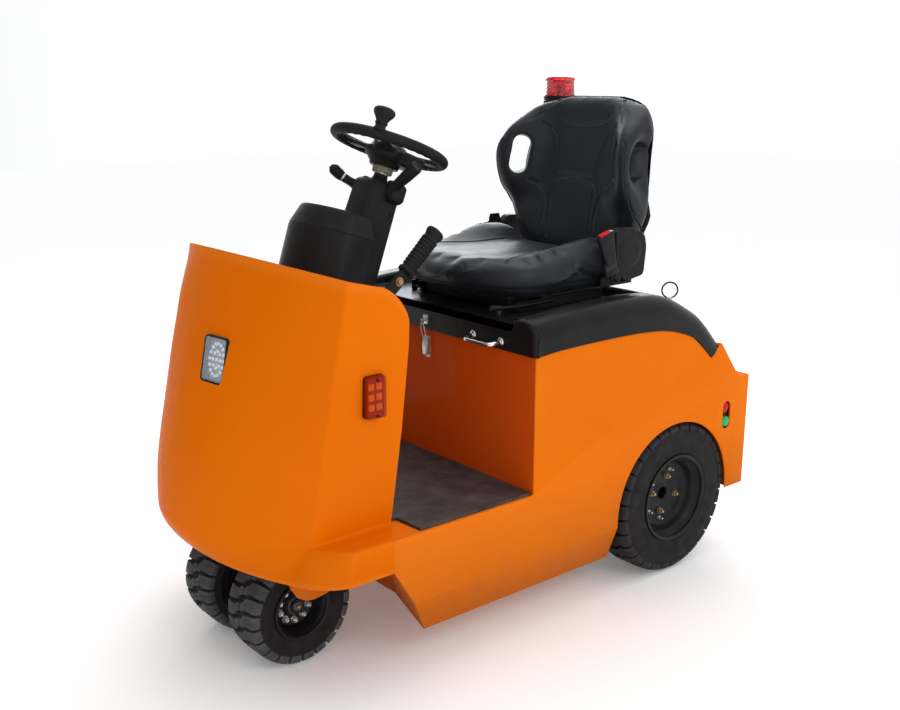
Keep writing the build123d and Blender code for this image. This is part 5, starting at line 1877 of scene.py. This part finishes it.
def thin_lens(name, color, alpha, rough, gloss=0.6):
    m = Mat(name)
    c = m.mix(m.remap(m.noise(60, 3), 0.3, 0.7), color, tuple(v * 0.86 for v in color))
    m.link(c, "Base Color")
    m.link(m.remap(m.noise(70, 3), 0.3, 0.75, rough, rough + 0.08), "Roughness")
    m.set(alpha=alpha, coat=gloss, coat_rough=0.05, spec=gloss * 0.8)
    m.bump(m.noise(150, 2), 0.08, 0.0004)
    return m.m


LENS_CLEAR = thin_lens("headlight_lens", (0.60, 0.66, 0.72), 0.26, 0.08)
LENS_AMBER = thin_lens("marker_lens", (0.42, 0.022, 0.0004), 0.60, 0.14, 0.14)
MARKER_BASE = plastic("marker_base", (0.070, 0.006, 0.002), (0.110, 0.010, 0.003), (0.35, 0.5), 500, 0.0002, 0.3, 0.1)


def headlight():
    bm = bmesh.new()
    w, h = LAMP_W - 0.6, LAMP_H - 0.6
    outer = rounded_rect(h, w, 8.5, 6)
    inner = rounded_rect(h - 7, w - 6.5, 5.5, 6)
    # local axes of the lamp: x out, y left, z up
    ring = [(0.2, outer), (1.8, outer), (3.2, [(a * 0.985, b * 0.985) for a, b in outer]), (3.2, inner), (-9.0, inner), (-9.0, [(a * 0.2, b * 0.2) for a, b in inner])]
    secs = [[LAMP_M @ Vector((x, b, a)) for a, b in r] for x, r in [(-33.0, outer)] + ring]
    add_loft(bm, secs)
    finish_piece(bm, "headlight_bezel", BLACK, "chassis", ("headlight",), sharp=32)
    bm = bmesh.new()
    plate = rounded_rect(h - 8, w - 7.5, 4.5, 5)
    add_loft(bm, [[LAMP_M @ Vector((x, b, a)) for a, b in plate] for x in (-8.9, -7.6)])
    finish_piece(bm, "headlight_reflector", REFLECT, "chassis", (), sharp=32)
    bm = bmesh.new()
    spots = [(34.0 * math.cos(2 * math.pi * k / 16) * 1.02, 24.0 * math.sin(2 * math.pi * k / 16)) for k in range(16)]
    spots += [(18 * math.cos(2 * math.pi * k / 8), 13 * math.sin(2 * math.pi * k / 8)) for k in range(8)] + [(0, 0)]
    cups = bmesh.new()
    for a, b in spots:
        m = LAMP_M @ frame_at((-7.8, b, a), (1, 0, 0))
        add_turned(bm, m, [(0, 0), (3.3, 0), (3.2, 1.6), (2.4, 3.0), (1.2, 3.7), (0, 3.9)], n=14)
        add_turned(cups, m, [(3.6, 0.1), (5.2, 0.1), (5.6, 3.4), (5.2, 3.4), (4.6, 1.2), (3.6, 0.8)], n=18, close=True)
    finish_piece(bm, "headlight_leds", LED_WHITE, "chassis", (), sharp=45)
    finish_piece(cups, "headlight_led_cups", CHROME, "chassis", (), sharp=35)
    bm = bmesh.new()
    # ribbed clear lens
    half_w = (w - 7.5) / 2
    n = 96
    rows = []
    for z in (-(h - 8) / 2, (h - 8) / 2):
        rows.append([LAMP_M @ Vector((2.2 + 0.55 * math.sin(2 * math.pi * k / 4.0), lerp(-half_w, half_w, k / n), z)) for k in range(n + 1)])
    back = [[LAMP_M @ Vector((0.2, lerp(-half_w, half_w, k / n), z)) for k in range(n + 1)] for z in (-(h - 8) / 2, (h - 8) / 2)]
    ring0 = rows[0] + list(reversed(back[0]))
    ring1 = rows[1] + list(reversed(back[1]))
    add_loft(bm, [ring0, ring1])
    finish_piece(bm, "headlight_glass", LENS_CLEAR, "chassis", (), sharp=60)


def marker(side, s):
    xc, zc = 942.5, 653.5
    y0 = 323.2
    bm = bmesh.new()
    W, H = 50.0, 92.0

    def sec(w, h, y, r):
        return [Vector((xc + a, s * y, zc + b)) for a, b in rounded_rect(w, h, r, 5)]

    add_loft(bm, [sec(W, H, y0 - 3, 7), sec(W, H, 330.0, 7), sec(W - 2, H - 2, 332.0, 6), sec(W - 8, H - 12, 332.0, 5), sec(W - 9, H - 14, 329.0, 4.5), sec(W - 30, H - 50, 329.0, 2)])
    finish_piece(bm, "marker_frame_" + side, MARKER_BASE, "chassis", ("marker_lamps",) if s > 0 else (), sharp=32)
    bm = bmesh.new()
    add_loft(bm, [sec(W - 1.6, H - 1.6, 331.0, 7), sec(W - 1.6, H - 1.6, 338.0, 7), sec(W - 4.0, H - 4.0, 340.8, 6), sec(W - 9, H - 9, 342.0, 5)])
    finish_piece(bm, "marker_lens_" + side, LENS_AMBER, "chassis", (), sharp=32)
    bm = bmesh.new()
    for a in (-10, 10):
        for b in (-22, 0, 22):
            add_box(bm, xc + a - 6.4, xc + a + 6.4, s * 333.6 - 2.6, s * 333.6 + 2.6, zc + b - 7.0, zc + b + 7.0, 1.8, 2)
    finish_piece(bm, "marker_leds_" + side, LED_AMBER, "chassis", (), sharp=32)
    bm = bmesh.new()
    for b in (-38.5, 38.5):
        add_turned(bm, frame_at((xc, s * 341.6, zc + b), (0, s, 0)), [(0, 0), (4.2, 0), (4.0, 1.0), (2.6, 1.8), (2.2, 0.8), (0, 0.8)], n=16)
    finish_piece(bm, "marker_screws_" + side, BLACK_STEEL, "chassis", (), sharp=32)


headlight()
for side, s in (("left", 1), ("right", -1)):
    marker(side, s)


# ---------------------------------------------------------------- rear controls, coupler and other fittings
def fittings():
    bm = bmesh.new()
    mtx = frame_at((-189, 372, 422), (0, 1, 0))
    add_turned(bm, mtx, [(0, 0), (9, 0), (9, 3), (12.8, 4.0), (13.8, 6), (13.4, 8.6), (9, 10.4), (0, 11)], n=32)
    finish_piece(bm, "stop_button_cap", RED_BUTTON, "chassis", ("stop_button",), sharp=45)
    bm = bmesh.new()
    mtx = frame_at((-189, 372, 383), (0, 1, 0))
    add_turned(bm, mtx, [(0, 0), (14.0, 0), (14.6, 9), (13.2, 12.6), (7, 14.2), (0, 14.5)], n=32)
    finish_piece(bm, "start_button_cap", GREEN_BUTTON, "chassis", ("start_button",), sharp=45)
    bm = bmesh.new()
    for z in (422, 383):
        add_turned(bm, frame_at((-189, 368, z), (0, 1, 0)), [(14.8, 0), (16.2, 0), (16.2, 2.5), (15.6, 3.2), (14.8, 3.2)], n=32, close=True)
    finish_piece(bm, "button_collars", BLACK_STEEL, "chassis", (), sharp=35)
    bm = bmesh.new()
    add_box(bm, -214, -164, 364, 369, 352, 452, 1.5, 2)
    finish_piece(bm, "button_plate", ORANGE_IN_SHADED, "chassis", (), sharp=35)
    # tow coupler: back plate, four tongues with rounded ends, gussets and bolts
    bm = bmesh.new()
    add_box(bm, -308, -281.4, -90, 90, 260, 480, 3.0, 2)
    for z in (270, 335, 400, 465):
        plate = [(-300, -45), (-300, 45), (-402, 45)]
        for k in range(1, 16):
            a = math.radians(90 + 180 * k / 16)
            plate.append((-400 + 39.5 * math.cos(a), 45 * math.sin(a)))
        plate += [(-402, -45)]
        add_loft(bm, [[Vector((x, y, zz)) for x, y in plate] for zz in (z, z + 14)])
    for y0 in (-42, 36):
        for z in (284, 349, 414):
            add_box(bm, -340, -304, y0, y0 + 6, z - 0.2, z + 51.2, 0.0)
    bevel_sharp(bm, 1.4, 2, 50)
    add_turned(bm, frame_at((-400, 0, 476), (0, 0, 1)), [(12.6, 0), (24, 0), (24, 5), (22, 7), (12.6, 7)], n=36, close=True)
    ob = finish_piece(bm, "coupler_jaw", BLACK_STEEL, "chassis", ("tow_coupler",), sharp=32)
    cutter_bm = bmesh.new()
    add_turned(cutter_bm, frame_at((-400, 0, 200), (0, 0, 1)), [(0, 0), (12.2, 0), (12.2, 400), (0, 400)], n=36)
    cut_with(ob, [raw_object(cutter_bm, "pin_hole")])
    bm = bmesh.new()
    for y in (-70, 70):
        for z in (285, 370, 455):
            mtx = frame_at((-308, y, z), (-1, 0, 0))
            add_turned(bm, mtx, [(0, 0), (15, 0), (15, 2.6), (0, 2.6)], n=28)
            add_hex(bm, mtx @ Matrix.Translation((0, 0, 2.6)), 19, 9)
    finish_piece(bm, "coupler_bolts", ZINC, "chassis", (), sharp=30)
    bm = bmesh.new()
    mtx = frame_at((-400, 0, 0), (0, 0, 1))
    add_turned(bm, mtx, [(0, 262), (5, 262), (10, 274), (10, 560), (8, 566), (8, 632), (9, 636), (9, 641), (6, 644), (0, 644)], n=28)
    finish_piece(bm, "coupler_pin_rod", STEEL, "coupler_pin", ("tow_pin",), sharp=32)
    bm = bmesh.new()
    rm = frame_at((-400, 0, 663.5), (0.6, 0.77, 0), (0, 0, 1))
    pts = [rm @ Vector((24.0 * math.cos(2 * math.pi * k / 56), 24.0 * math.sin(2 * math.pi * k / 56), 0)) for k in range(56)]
    add_tube(bm, pts, 2.5, 12, closed=True)
    finish_piece(bm, "coupler_pin_ring", BLACK_STEEL, "coupler_pin", (), sharp=50)


fittings()

# ---------------------------------------------------------------- pieces that keep their construction shape
KEPT = {
    "floor_platform": ORANGE, "seat_box_front": ORANGE_BOX_SHADED, "rear_plate": ORANGE, "belly_pan": ORANGE, "wheel_houses": ORANGE_IN_SHADED,
    "floor_mat": MATTING, "battery": BATTERY, "drive_axle": CAST, "steering_yoke": BLACK_STEEL,
}
for node, material in KEPT.items():
    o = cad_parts.get(node)
    if o is None:
        continue
    if not o.material_slots:
        o.data.materials.append(material)
    for sl in o.material_slots:
        sl.link = "OBJECT"
        sl.material = material
